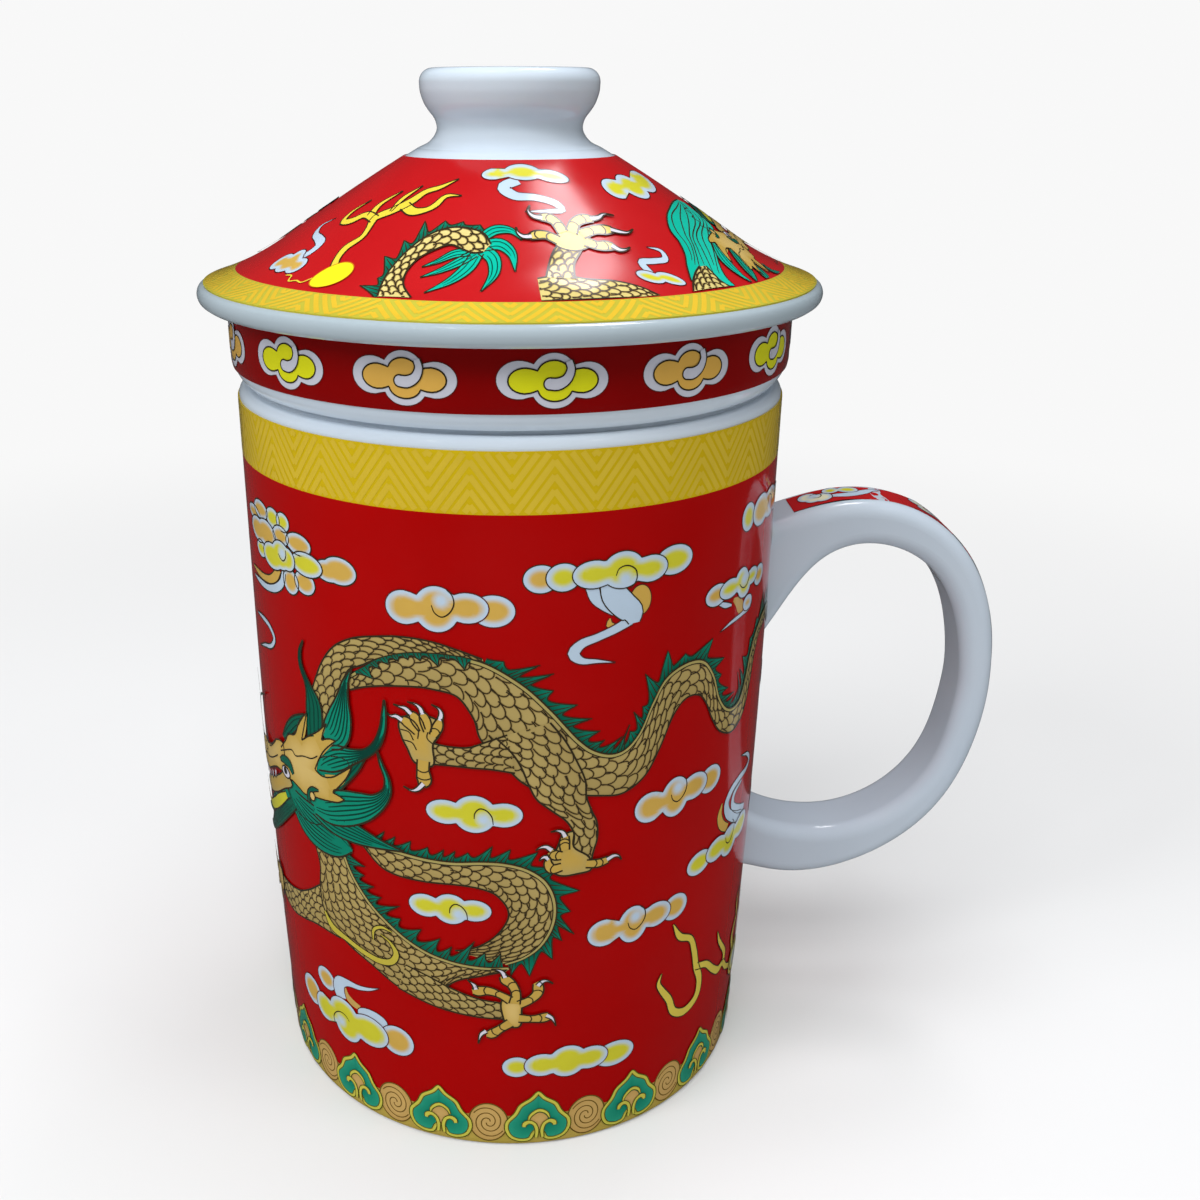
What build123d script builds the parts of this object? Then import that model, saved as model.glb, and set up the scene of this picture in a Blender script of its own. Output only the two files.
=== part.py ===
from build123d import *
import math
import os

# Lidded porcelain tea mug: a handled mug, an infuser that hangs in its mouth and a tent-shaped
# lid that stands on the infuser.  Millimetres, +Z up.  The origin is the centre of the foot,
# on the table, and the handle points along +X.

# ---- mug ----
MUG_RADIUS = 39.0            # outside, at the straight upper part
MUG_HEIGHT = 109.0           # foot to lip
MUG_TAPER = 1.6              # the foot is this much slimmer than the upper part
TAPER_HEIGHT = 75.0          # the wall is straight above this and draws in below it
FOOT_EDGE_HEIGHT = 0.8       # height of the rounded bottom edge
FOOT_EDGE_WIDTH = 0.5        # and how far in it reaches, to the ring that touches the table
FOOT_RING_WIDTH = 3.5
FOOT_RECESS = 1.6            # how far the underside is raised inside the ring
MUG_WALL = 3.2
MUG_FLOOR = 5.0              # top of the floor above the table
MUG_CORNER = 7.0             # inside radius between wall and floor
LIP_OUTER_ROUND = 1.3
LIP_INNER_ROUND = 0.8

# ---- handle: a strap that leaves the wall high, swings out and returns low ----
HANDLE_DROP = 18.4           # lip down to the highest point of the outer face
HANDLE_LOW = 26.3            # table up to the lowest point of the outer face
HANDLE_REACH = 36.4          # wall out to the furthest point of the outer face
HANDLE_WIDTH = 11.0
HANDLE_THICK = 4.9           # at the far side, where it is thinnest
HANDLE_TOP_THICK = 7.0
HANDLE_LOW_THICK = 8.4
HANDLE_ROOT_TALL = 19.4      # the upper root flares down the wall
HANDLE_FOOT_TALL = 13.0      # the lower root flares up it
HANDLE_ROOT_WIDTH = 12.6
HANDLE_EDGE = 2.2            # rounding along the strap's edges
ROOT_DEPTH = 2.2             # how far the strap runs into the wall before it is trimmed

# ---- infuser: a collar on the lip and a basket that hangs in the mug ----
COLLAR_PROUD = 0.5           # the collar stands out past the mug's wall
COLLAR_HEIGHT = 12.0         # above the mug's lip
COLLAR_GAP = 0.7             # the collar's outer edge clears the lip by this, around the seat
COLLAR_DRAW = 1.6            # how far its lower edge is drawn in
COLLAR_CURVE_HEIGHT = 3.4    # height of the curve that draws it in
COLLAR_BOW = 0.4             # how far that curve stands off its chord
COLLAR_WALL = 3.2
COLLAR_TOP_ROUND = 0.8
SEAT_WIDTH = 0.6             # the narrow ring that rests on the lip
NECK_CLEARANCE = 1.0         # basket to the mug's bore, each side
BASKET_DEPTH = 66.0          # below the lip
BASKET_TAPER = 3.8           # the basket's lower end is this much slimmer than its neck
BASKET_CORNER = 7.0
BASKET_WALL = 2.6
BASKET_FLOOR = 2.8
DRAIN_RADIUS = 1.1
DRAIN_PITCH = 5.6            # between rings of holes in the floor
DRAIN_RINGS = 3
SIDE_DRAINS = 24             # holes in each ring through the lower wall
SIDE_DRAIN_ROWS = 2
SIDE_DRAIN_LOWEST = 10.0     # lowest ring above the basket's underside
SIDE_DRAIN_STEP = 5.5

# ---- lid ----
BRIM_OVERHANG = 4.1          # the brim stands out past the collar
BRIM_THICK = 2.7
BRIM_ROUND = 0.95            # depth of the brim's round edge
BRIM_DROP = 0.7              # the brim's lower edge hangs below the seat by this
SEAT_MARGIN = 0.7            # the flat seat runs this far outside the collar
DOME_RISE = 19.1             # seat to the foot of the knob's neck
FLARE_WIDTH = 12.6           # from the brim's edge in to the shoulder, where the dome starts
SHOULDER_RISE = 7.55         # seat to that shoulder
DOME_BULGE = 0.2              # how far the dome stands outside a straight cone, at its middle
FLARE_SAG = 0.5              # how far the flare hangs inside a straight cone, at its middle
HOLLOW_BULGE = 1.2           # the same for the hollow under the dome
LID_WALL = 3.2
SKIRT_CLEARANCE = 0.8        # locating skirt to the collar's bore, each side
SKIRT_DEPTH = 6.0
SKIRT_WALL = 2.6
NECK_FOOT_RADIUS = 12.6
NECK_RADIUS = 10.0
NECK_RISE = 2.3              # neck's narrowest point above its foot
KNOB_RADIUS = 12.25
KNOB_RISE = 10.1             # knob's top edge above the neck's foot
KNOB_EDGE = 1.8              # radius of the knob's rounded edge
KNOB_BAND = 3.7              # its upright band reaches this far below the top, to a soft crease
KNOB_CREASE = 0.3            # the crease stands this far inside the widest part
KNOB_DISH = 1.1              # how far the knob's top is hollowed

# ---- enamel transfers, fired onto the glaze ----
TRANSFER = 0.2               # thickness
FOOT_BORDER_HEIGHT = 8.6     # from the top of the mug's rounded bottom edge
RIM_BAND_MARGIN = 1.5        # lip down to the band
RIM_BAND_HEIGHT = 7.9
COLLAR_BAND_BOTTOM = 3.0     # above the lip
COLLAR_BAND_MARGIN = 1.15    # the collar's rim down to the band
LID_RED_MARGIN = 2.0         # the lid's red field starts this far outside the neck's foot
LID_BAND_WIDTH = 5.4         # the yellow band, in from the brim's edge
STRIP_WIDTH = 6.4
STRIP_START = 3.5            # the strip starts this far outside the wall, on the upper arm
STRIP_END = 9.7              # and ends this far above the handle's lowest point

# ---- values worked out from the sizes above ----
MUG_BORE = MUG_RADIUS - MUG_WALL
LIP_Z = MUG_HEIGHT
FOOT_RADIUS = MUG_RADIUS - MUG_TAPER
FOOT_RING_OUTER = FOOT_RADIUS - FOOT_EDGE_WIDTH
FOOT_RING_INNER = FOOT_RING_OUTER - FOOT_RING_WIDTH
HANDLE_TOP = LIP_Z - HANDLE_DROP
HANDLE_FAR = MUG_RADIUS + HANDLE_REACH
COLLAR_RADIUS = MUG_RADIUS + COLLAR_PROUD
COLLAR_Z = LIP_Z + COLLAR_HEIGHT
COLLAR_BORE = COLLAR_RADIUS - COLLAR_WALL
NECK = MUG_BORE - NECK_CLEARANCE
SEAT_INNER = MUG_BORE + LIP_INNER_ROUND
BASKET_Z = LIP_Z - BASKET_DEPTH
BASKET_FOOT_RADIUS = NECK - BASKET_TAPER
BRIM_RADIUS = COLLAR_RADIUS + BRIM_OVERHANG
BRIM_EDGE = BRIM_RADIUS - BRIM_ROUND
BRIM_LOW_Z = COLLAR_Z - BRIM_DROP
BRIM_TOP_Z = BRIM_LOW_Z + BRIM_THICK
SHOULDER_RADIUS = BRIM_RADIUS - FLARE_WIDTH
SHOULDER_Z = COLLAR_Z + SHOULDER_RISE
SKIRT_RADIUS = COLLAR_BORE - SKIRT_CLEARANCE
SKIRT_BORE = SKIRT_RADIUS - SKIRT_WALL
NECK_FOOT_Z = COLLAR_Z + DOME_RISE
FOOT_BORDER_TOP = FOOT_EDGE_HEIGHT + FOOT_BORDER_HEIGHT
RIM_BAND_TOP = LIP_Z - RIM_BAND_MARGIN
RIM_BAND_BOTTOM = RIM_BAND_TOP - RIM_BAND_HEIGHT
LID_RED_INNER = NECK_FOOT_RADIUS + LID_RED_MARGIN
LID_RED_OUTER = BRIM_RADIUS - LID_BAND_WIDTH
TAPER_ARC = ((TAPER_HEIGHT - FOOT_EDGE_HEIGHT) ** 2 + MUG_TAPER ** 2) / (2 * MUG_TAPER)


def turn(*edges):
    """A solid of revolution about Z from edges drawn in the XZ plane, where x is the radius."""
    return revolve(make_face(Wire(edges)), Axis.Z, 360)


def at(radius, height):
    """A point of a profile."""
    return (radius, 0, height)


def taper_radius(height):
    """The mug's outside radius: straight above TAPER_HEIGHT, one long arc below it."""
    if height >= TAPER_HEIGHT:
        return MUG_RADIUS
    drop = TAPER_HEIGHT - height
    return MUG_RADIUS - TAPER_ARC + math.sqrt(TAPER_ARC ** 2 - drop ** 2)


def wall_edges(low, high, offset=0.0):
    """The mug's outside from one height up to another, moved outwards by an offset."""
    edges = []
    if low < TAPER_HEIGHT:
        top = min(high, TAPER_HEIGHT)
        middle = (low + top) / 2
        edges.append(ThreePointArc(*[at(taper_radius(z) + offset, z) for z in (low, middle, top)]))
    if high > TAPER_HEIGHT:
        start = max(low, TAPER_HEIGHT)
        edges.append(Line(at(MUG_RADIUS + offset, start), at(MUG_RADIUS + offset, high)))
    return edges


def joined(*points):
    """Straight edges through the points."""
    return [Line(a, b) for a, b in zip(points, points[1:])]


def quarter(start, end, centre):
    """A quarter round from start to end about a centre in the XZ plane."""
    radius = math.dist(start, centre)
    middle = [(a + b) / 2 - c for a, b, c in zip(start, end, centre)]
    length = math.hypot(*middle)
    return ThreePointArc(start, tuple(c + m / length * radius for c, m in zip(centre, middle)), end)


def bow_centre(start, end, bow):
    """Centre (x, z) and radius of the shallow arc that stands off its chord by bow.

    A positive bow stands to the left of the way from start to end."""
    chord = math.dist(start, end)
    radius = (chord ** 2 / 4 + bow ** 2) / (2 * abs(bow))
    left = (-(end[2] - start[2]) / chord, (end[0] - start[0]) / chord)
    reach = bow - math.copysign(radius, bow)
    middle = ((start[0] + end[0]) / 2, (start[2] + end[2]) / 2)
    return (middle[0] + left[0] * reach, middle[1] + left[1] * reach), radius


def at_radius(start, end, bow, x):
    """The point of a shallow arc at a distance x from the axis."""
    centre, radius = bow_centre(start, end, bow)
    side = math.copysign(1, (start[2] + end[2]) / 2 - centre[1])
    return at(x, centre[1] + side * math.sqrt(radius ** 2 - (x - centre[0]) ** 2))


def at_height(start, end, bow, z):
    """The point of a shallow arc at a height z."""
    centre, radius = bow_centre(start, end, bow)
    side = math.copysign(1, (start[0] + end[0]) / 2 - centre[0])
    return at(centre[0] + side * math.sqrt(radius ** 2 - (z - centre[1]) ** 2), z)


def bowed(start, end, bow):
    """The shallow arc itself."""
    (x, z), radius = bow_centre(start, end, bow)
    middle = ((start[0] + end[0]) / 2 - x, (start[2] + end[2]) / 2 - z)
    stretch = radius / math.hypot(*middle)
    return ThreePointArc(start, at(x + middle[0] * stretch, z + middle[1] * stretch), end)


def moved(point, out=0.0, up=0.0):
    """A profile point shifted outwards and upwards."""
    return at(point[0] + out, point[2] + up)


def mug_body():
    """The cup: foot ring, tapering wall, rounded lip and a bore with a rounded corner."""
    lip_flat_outer = MUG_RADIUS - LIP_OUTER_ROUND
    lip_flat_inner = MUG_BORE + LIP_INNER_ROUND
    foot_bore = taper_radius(MUG_FLOOR + MUG_CORNER) - MUG_WALL
    recess_ease = FOOT_RING_INNER - FOOT_RECESS
    edges = joined(at(0, FOOT_RECESS), at(recess_ease, FOOT_RECESS), at(FOOT_RING_INNER, 0),
                   at(FOOT_RING_OUTER, 0))
    edges.append(Spline(at(FOOT_RING_OUTER, 0), at(FOOT_RADIUS, FOOT_EDGE_HEIGHT),
                        tangents=[(1, 0, 0.35), (0.05, 0, 1)]))
    edges += wall_edges(FOOT_EDGE_HEIGHT, LIP_Z - LIP_OUTER_ROUND)
    edges.append(quarter(at(MUG_RADIUS, LIP_Z - LIP_OUTER_ROUND), at(lip_flat_outer, LIP_Z),
                         at(lip_flat_outer, LIP_Z - LIP_OUTER_ROUND)))
    edges += joined(at(lip_flat_outer, LIP_Z), at(lip_flat_inner, LIP_Z))
    edges.append(quarter(at(lip_flat_inner, LIP_Z), at(MUG_BORE, LIP_Z - LIP_INNER_ROUND),
                         at(lip_flat_inner, LIP_Z - LIP_INNER_ROUND)))
    edges += joined(at(MUG_BORE, LIP_Z - LIP_INNER_ROUND), at(MUG_BORE, TAPER_HEIGHT),
                    at(foot_bore, MUG_FLOOR + MUG_CORNER))
    edges.append(quarter(at(foot_bore, MUG_FLOOR + MUG_CORNER), at(foot_bore - MUG_CORNER, MUG_FLOOR),
                         at(foot_bore - MUG_CORNER, MUG_FLOOR + MUG_CORNER)))
    edges += joined(at(foot_bore - MUG_CORNER, MUG_FLOOR), at(0, MUG_FLOOR), at(0, FOOT_RECESS))
    return turn(*edges)


def mug_envelope(offset=0.0):
    """The mug's outside as a filled solid, to trim what meets the wall."""
    low = FOOT_EDGE_HEIGHT
    edges = joined(at(0, low), at(taper_radius(low) + offset, low))
    edges += wall_edges(low, LIP_Z, offset)
    edges += joined(at(MUG_RADIUS + offset, LIP_Z), at(0, LIP_Z), at(0, low))
    return turn(*edges)


def handle_stations():
    """Sections of the strap from the upper root round to the lower one.

    Each is (outer face's x, its z, lean of the section, thickness, width).  The outer face's
    places are shares of the handle's reach and height, so a larger handle keeps its form."""
    tall = HANDLE_TOP - HANDLE_LOW
    root = MUG_RADIUS - ROOT_DEPTH
    foot = taper_radius(HANDLE_LOW) - ROOT_DEPTH
    bend_top = (2 * HANDLE_TOP_THICK + HANDLE_THICK) / 3
    bend_low = (HANDLE_LOW_THICK + HANDLE_THICK) / 2

    def section(across, up, lean, thick, width=HANDLE_WIDTH):
        return (MUG_RADIUS + across * HANDLE_REACH, HANDLE_LOW + up * tall, lean, thick, width)

    def root_section(x, z, lean, tall_here):
        return (x, z, lean, tall_here, HANDLE_ROOT_WIDTH)

    return [
        root_section(root, HANDLE_LOW + 0.932 * tall, 90, HANDLE_ROOT_TALL),
        section(0.045, 0.957, 116, 0.50 * HANDLE_ROOT_TALL, HANDLE_WIDTH + 0.6),
        section(0.324, 0.998, 97, HANDLE_TOP_THICK),
        section(0.618, 0.970, 67, bend_top),
        section(0.835, 0.868, 38, (HANDLE_TOP_THICK + 2 * HANDLE_THICK) / 3),
        section(0.962, 0.715, 16, 1.08 * HANDLE_THICK),
        section(1.000, 0.530, 1, HANDLE_THICK),
        section(0.953, 0.340, -17, HANDLE_THICK),
        section(0.813, 0.173, -39, 1.12 * HANDLE_THICK),
        section(0.580, 0.058, -63, bend_low),
        section(0.283, 0.000, -88, HANDLE_LOW_THICK),
        section(0.085, 0.008, -92, 1.09 * HANDLE_LOW_THICK, HANDLE_WIDTH + 0.4),
        root_section(foot, HANDLE_LOW + 0.026 * tall, -90, HANDLE_FOOT_TALL),
    ]


def strap():
    """The strap as one loft through sections with rounded edges."""
    sections = []
    for x, z, lean, thick, width in handle_stations():
        outward = Vector(math.cos(math.radians(lean)), 0, math.sin(math.radians(lean)))
        along = Vector(0, 1, 0).cross(outward)
        place = Plane(Vector(x, 0, z) - outward * (thick / 2), x_dir=(0, 1, 0), z_dir=along)
        sections.append(place * RectangleRounded(width, thick, HANDLE_EDGE))
    return loft(sections)


def mug_handle():
    """The strap trimmed to the mug's wall, so that it meets it face to face."""
    return strap() - mug_envelope()


def handle_strip(handle):
    """The printed strip on the handle's outer face, from near the upper root round to low down."""
    start = MUG_RADIUS + STRIP_START
    end = HANDLE_LOW + STRIP_END
    keep = Box(HANDLE_FAR, STRIP_WIDTH, HANDLE_TOP, align=(Align.MIN, Align.CENTER, Align.MIN))
    outer = max(handle.faces().filter_by(is_outer_face), key=lambda face: face.area)
    return thicken(outer & Pos(start, 0, end) * keep, TRANSFER)


def is_outer_face(face):
    """Whether a face reaches the handle's furthest point, across the middle of the strap."""
    box = face.bounding_box()
    return box.max.X > HANDLE_FAR - HANDLE_EDGE / 4 and box.min.Y < 0 < box.max.Y


def mug_band(low, high):
    """A printed sleeve on the mug's outside between two heights."""
    edges = wall_edges(low, high)
    edges += joined(at(taper_radius(high), high), at(taper_radius(high) + TRANSFER, high))
    edges += wall_edges(low, high, TRANSFER)
    edges += joined(at(taper_radius(low), low), at(taper_radius(low) + TRANSFER, low))
    return turn(*edges)


def collar_curve_ends():
    """The ends of the curve that draws the collar in above the lip: its edge and its straight part."""
    low = LIP_Z + COLLAR_GAP
    return at(COLLAR_RADIUS - COLLAR_DRAW, low), at(COLLAR_RADIUS, low + COLLAR_CURVE_HEIGHT)


def infuser():
    """Collar, seat, neck and basket in one turned body, with drain holes in its floor and wall."""
    edge, straight = collar_curve_ends()
    seat_outer = SEAT_INNER + SEAT_WIDTH
    flat_z = LIP_Z + COLLAR_GAP
    top = COLLAR_Z - COLLAR_TOP_ROUND
    basket_bore = BASKET_FOOT_RADIUS - BASKET_WALL
    bore_corner = BASKET_CORNER - BASKET_WALL
    corner_z = BASKET_Z + BASKET_CORNER
    floor_z = BASKET_Z + BASKET_FLOOR
    edges = [bowed(edge, straight, -COLLAR_BOW)]
    edges += joined(straight, at(COLLAR_RADIUS, top))
    edges.append(quarter(at(COLLAR_RADIUS, top), at(COLLAR_RADIUS - COLLAR_TOP_ROUND, COLLAR_Z),
                         at(COLLAR_RADIUS - COLLAR_TOP_ROUND, top)))
    edges += joined(at(COLLAR_RADIUS - COLLAR_TOP_ROUND, COLLAR_Z),
                    at(COLLAR_BORE + COLLAR_TOP_ROUND, COLLAR_Z))
    edges.append(quarter(at(COLLAR_BORE + COLLAR_TOP_ROUND, COLLAR_Z), at(COLLAR_BORE, top),
                         at(COLLAR_BORE + COLLAR_TOP_ROUND, top)))
    edges += joined(at(COLLAR_BORE, top), at(COLLAR_BORE, LIP_Z + COLLAR_CURVE_HEIGHT),
                    at(NECK - BASKET_WALL, LIP_Z), at(basket_bore, floor_z + bore_corner))
    edges.append(quarter(at(basket_bore, floor_z + bore_corner),
                         at(basket_bore - bore_corner, floor_z),
                         at(basket_bore - bore_corner, floor_z + bore_corner)))
    edges += joined(at(basket_bore - bore_corner, floor_z), at(0, floor_z), at(0, BASKET_Z),
                    at(BASKET_FOOT_RADIUS - BASKET_CORNER, BASKET_Z))
    edges.append(quarter(at(BASKET_FOOT_RADIUS - BASKET_CORNER, BASKET_Z),
                         at(BASKET_FOOT_RADIUS, corner_z),
                         at(BASKET_FOOT_RADIUS - BASKET_CORNER, corner_z)))
    edges += joined(at(BASKET_FOOT_RADIUS, corner_z), at(NECK, LIP_Z), at(NECK, flat_z),
                    at(SEAT_INNER, flat_z), at(SEAT_INNER, LIP_Z), at(seat_outer, LIP_Z),
                    at(seat_outer, flat_z), edge)
    return turn(*edges) - drain_holes()


def drain_holes():
    """Rings of straight holes through the basket's floor and of radial holes through its wall."""
    floor_hole = Cylinder(DRAIN_RADIUS, 3 * BASKET_FLOOR)
    wall_hole = Cylinder(DRAIN_RADIUS, 3 * BASKET_WALL)
    holes = [Pos(0, 0, BASKET_Z) * floor_hole]
    for ring in range(1, DRAIN_RINGS + 1):
        for step in range(6 * ring):
            turned = Rot(0, 0, 60 * step / ring)
            holes.append(turned * Pos(ring * DRAIN_PITCH, 0, BASKET_Z) * floor_hole)
    for row in range(SIDE_DRAIN_ROWS):
        height = BASKET_Z + SIDE_DRAIN_LOWEST + row * SIDE_DRAIN_STEP
        for step in range(SIDE_DRAINS):
            turned = Rot(0, 0, 360 * (step + row / 2) / SIDE_DRAINS)
            holes.append(turned * Pos(BASKET_FOOT_RADIUS, 0, height) * Rot(0, 90, 0) * wall_hole)
    return holes


def infuser_band():
    """The printed sleeve round the collar, from part way up its curve to just below its rim."""
    edge, straight = collar_curve_ends()
    low = at_height(edge, straight, -COLLAR_BOW, LIP_Z + COLLAR_BAND_BOTTOM)
    high = at(COLLAR_RADIUS, COLLAR_Z - COLLAR_BAND_MARGIN)
    curve = ThreePointArc(low, at_height(edge, straight, -COLLAR_BOW, (low[2] + straight[2]) / 2), straight)
    edges = [curve, curve.moved(Pos(TRANSFER, 0, 0))]
    edges += joined(straight, high, moved(high, TRANSFER), moved(straight, TRANSFER))
    edges += joined(low, moved(low, TRANSFER))
    return turn(*edges)


def dome_ends():
    """The ends of the lid's bulging dome, from the neck's foot out to the shoulder."""
    return at(NECK_FOOT_RADIUS, NECK_FOOT_Z), at(SHOULDER_RADIUS, SHOULDER_Z)


def flare_ends():
    """The ends of the lid's hollow flare, from the shoulder out to the brim's edge."""
    return at(SHOULDER_RADIUS, SHOULDER_Z), at(BRIM_EDGE, BRIM_TOP_Z)


def lid_shell():
    """The tent-shaped lid: dome, flared brim with a round edge, flat seat and locating skirt."""
    top = at(0, NECK_FOOT_Z)
    roof_z = NECK_FOOT_Z - LID_WALL
    skirt_low = COLLAR_Z - SKIRT_DEPTH
    ease = SKIRT_WALL / 4
    hollow_low = at(SKIRT_BORE, COLLAR_Z + LID_WALL / 2)
    hollow_high = at(NECK_FOOT_RADIUS - LID_WALL / 2, roof_z)
    seat_edge = at(COLLAR_RADIUS + SEAT_MARGIN, COLLAR_Z)
    edges = joined(top, at(NECK_FOOT_RADIUS, NECK_FOOT_Z))
    edges.append(bowed(*dome_ends(), DOME_BULGE))
    edges.append(bowed(*flare_ends(), -FLARE_SAG))
    edges.append(Spline(at(BRIM_EDGE, BRIM_TOP_Z), at(BRIM_RADIUS, (BRIM_TOP_Z + BRIM_LOW_Z) / 2),
                        at(BRIM_EDGE, BRIM_LOW_Z), tangents=[(0.8, 0, -0.3), (-0.9, 0, 0.2)]))
    edges += joined(at(BRIM_EDGE, BRIM_LOW_Z), seat_edge, at(SKIRT_RADIUS, COLLAR_Z),
                    at(SKIRT_RADIUS, skirt_low + ease), at(SKIRT_RADIUS - ease, skirt_low),
                    at(SKIRT_BORE + ease, skirt_low), at(SKIRT_BORE, skirt_low + ease), hollow_low)
    edges.append(bowed(hollow_high, hollow_low, HOLLOW_BULGE))
    edges += joined(hollow_high, at(0, roof_z), top)
    return turn(*edges)


def lid_knob():
    """The knob: a waisted neck that spreads to a round-edged grip with a hollowed top."""
    foot = at(NECK_FOOT_RADIUS, NECK_FOOT_Z)
    neck = at(NECK_RADIUS, NECK_FOOT_Z + NECK_RISE)
    knob_top = NECK_FOOT_Z + KNOB_RISE
    widest = at(KNOB_RADIUS, knob_top - KNOB_EDGE)
    crease = at(KNOB_RADIUS - KNOB_CREASE, knob_top - KNOB_BAND)
    rim = at(KNOB_RADIUS - KNOB_EDGE, knob_top)
    dish = at(0, knob_top - KNOB_DISH)
    side = at(NECK_RADIUS + 0.55 * (crease[0] - NECK_RADIUS), NECK_FOOT_Z + 0.47 * KNOB_RISE)
    edges = [Spline(foot, neck, side, crease, tangents=[(-0.86, 0, 0.5), (0.5, 0, 1)]),
             Spline(crease, widest, tangents=[(0.7, 0, 1), (0, 0, 1)])]
    edges.append(quarter(widest, rim, at(KNOB_RADIUS - KNOB_EDGE, knob_top - KNOB_EDGE)))
    edges.append(Spline(rim, dish, tangents=[(-1, 0, -0.1), (-1, 0, 0)]))
    edges += joined(dish, at(0, NECK_FOOT_Z), foot)
    return turn(*edges)


def lid_skin(pieces):
    """A printed skin on the lid from arcs of its profile, lifted straight up by its thickness."""
    first = pieces[0] @ 0
    last = pieces[-1] @ 1
    raised = Pos(0, 0, TRANSFER)
    edges = list(pieces) + [piece.moved(raised) for piece in pieces]
    edges += joined(tuple(first), moved(tuple(first), 0, TRANSFER))
    edges += joined(tuple(last), moved(tuple(last), 0, TRANSFER))
    return turn(*edges)


def part_arc(ends, bow, inner, outer):
    """The stretch of a shallow arc between two distances from the axis."""
    points = [at_radius(*ends, bow, x) for x in (inner, (inner + outer) / 2, outer)]
    return ThreePointArc(*points)


def lid_wrap():
    """The lid's red field, from just outside the knob's neck over the shoulder to the yellow band."""
    dome = part_arc(dome_ends(), DOME_BULGE, LID_RED_INNER, SHOULDER_RADIUS)
    flare = part_arc(flare_ends(), -FLARE_SAG, SHOULDER_RADIUS, LID_RED_OUTER)
    return lid_skin([dome, flare])


def lid_rim_band():
    """The lid's yellow band, from the red field out to the brim's round edge."""
    return lid_skin([part_arc(flare_ends(), -FLARE_SAG, LID_RED_OUTER, BRIM_EDGE)])


def build():
    """Every sub-part by its node name."""
    handle = mug_handle()
    return {
        "mug_body": mug_body(),
        "mug_handle": handle,
        "mug_foot_border": mug_band(FOOT_EDGE_HEIGHT, FOOT_BORDER_TOP),
        "mug_wrap": mug_band(FOOT_BORDER_TOP, RIM_BAND_BOTTOM) - handle,
        "mug_rim_band": mug_band(RIM_BAND_BOTTOM, RIM_BAND_TOP),
        "handle_strip": handle_strip(handle),
        "infuser": infuser(),
        "infuser_band": infuser_band(),
        "lid_shell": lid_shell(),
        "lid_knob": lid_knob(),
        "lid_wrap": lid_wrap(),
        "lid_rim_band": lid_rim_band(),
    }


os.makedirs("parts", exist_ok=True)
for name, shape in build().items():
    export_step(shape, f"parts/{name}.step")
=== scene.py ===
import math

import bpy
import numpy as np
from mathutils import Euler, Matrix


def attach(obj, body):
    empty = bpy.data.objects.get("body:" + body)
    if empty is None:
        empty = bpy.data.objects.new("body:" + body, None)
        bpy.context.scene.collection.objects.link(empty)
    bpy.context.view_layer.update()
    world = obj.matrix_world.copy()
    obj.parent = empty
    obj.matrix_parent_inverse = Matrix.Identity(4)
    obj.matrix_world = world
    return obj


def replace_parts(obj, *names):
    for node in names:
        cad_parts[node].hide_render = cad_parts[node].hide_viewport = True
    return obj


# Lidded porcelain tea mug with an infuser: white ware, red and yellow enamel grounds, and a
# painted dragon among clouds.  The ware is worked out in millimetres, +Z up, the handle along
# +X, and put into metres when a piece is made.

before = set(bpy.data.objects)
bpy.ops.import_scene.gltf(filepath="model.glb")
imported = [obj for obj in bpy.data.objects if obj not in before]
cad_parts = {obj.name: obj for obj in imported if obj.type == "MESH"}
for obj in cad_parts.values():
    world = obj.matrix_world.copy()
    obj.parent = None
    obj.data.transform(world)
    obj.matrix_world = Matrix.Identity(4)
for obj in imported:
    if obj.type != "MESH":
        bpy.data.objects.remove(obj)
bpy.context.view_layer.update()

# ---- sizes, in millimetres: radii end in R, heights over the table in Z ----
MUG_R, LIP_Z, TAPER, TAPER_Z, FOOT_Z = 39.0, 109.0, 1.6, 75.0, 0.8
TAPER_ARC = ((TAPER_Z - FOOT_Z) ** 2 + TAPER ** 2) / (2 * TAPER)
FOOT_R, FOOT_RING_R, FOOT_RING_IN, RECESS_R, RECESS_Z = MUG_R - TAPER, 36.9, 33.4, 31.8, 1.6
BORE_R, WALL, FLOOR_Z, CORNER = 35.8, 3.2, 5.0, 7.0
LIP_OUT, LIP_IN = 1.3, 0.8           # the lip's two roundings
TRANSFER = 0.2                       # the printed grounds stand this proud of the glaze
COAT = 0.035                         # and one painted layer over another
TUCK = 0.05                          # a ground's fine edge reaches this far into the glaze
GOLD_LOW, GOLD_TOP, RIM_LOW, RIM_TOP = 0.25, 5.8, 99.6, 107.5
COLLAR_R, COLLAR_LOW, COLLAR_STRAIGHT, COLLAR_Z = 39.5, 109.7, 113.1, 121.0
COLLAR_EDGE_R, COLLAR_BOW = 37.9, -0.4
BAND_LOW, BAND_TOP = 112.0, 119.85
DOME_FOOT, SHOULDER, BRIM = (12.6, 140.1), (31.0, 128.55), (42.65, 123.0)
DOME_BOW, FLARE_BOW = 0.2, -0.5
BRIM_R, BRIM_LOW_Z = 43.6, 120.3
HOLLOW_TOP, HOLLOW_LOW, HOLLOW_BOW = (11.0, 136.9), (32.9, 122.6), 1.2
SEAT_R, SKIRT_R, SKIRT_IN, SKIRT_LOW, SKIRT_EDGE = 40.2, 35.5, 32.9, 115.0, 0.65
RED_IN, RED_OUT = 14.6, 38.2         # the lid's red ground; the yellow one runs on to the brim
BAND_MIDDLE = (RED_OUT + BRIM[0]) / 2
KNOB_TOP, KNOB_R, KNOB_CREASE, KNOB_EDGE = 150.2, 12.25, (11.95, 146.5), 1.8
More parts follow.
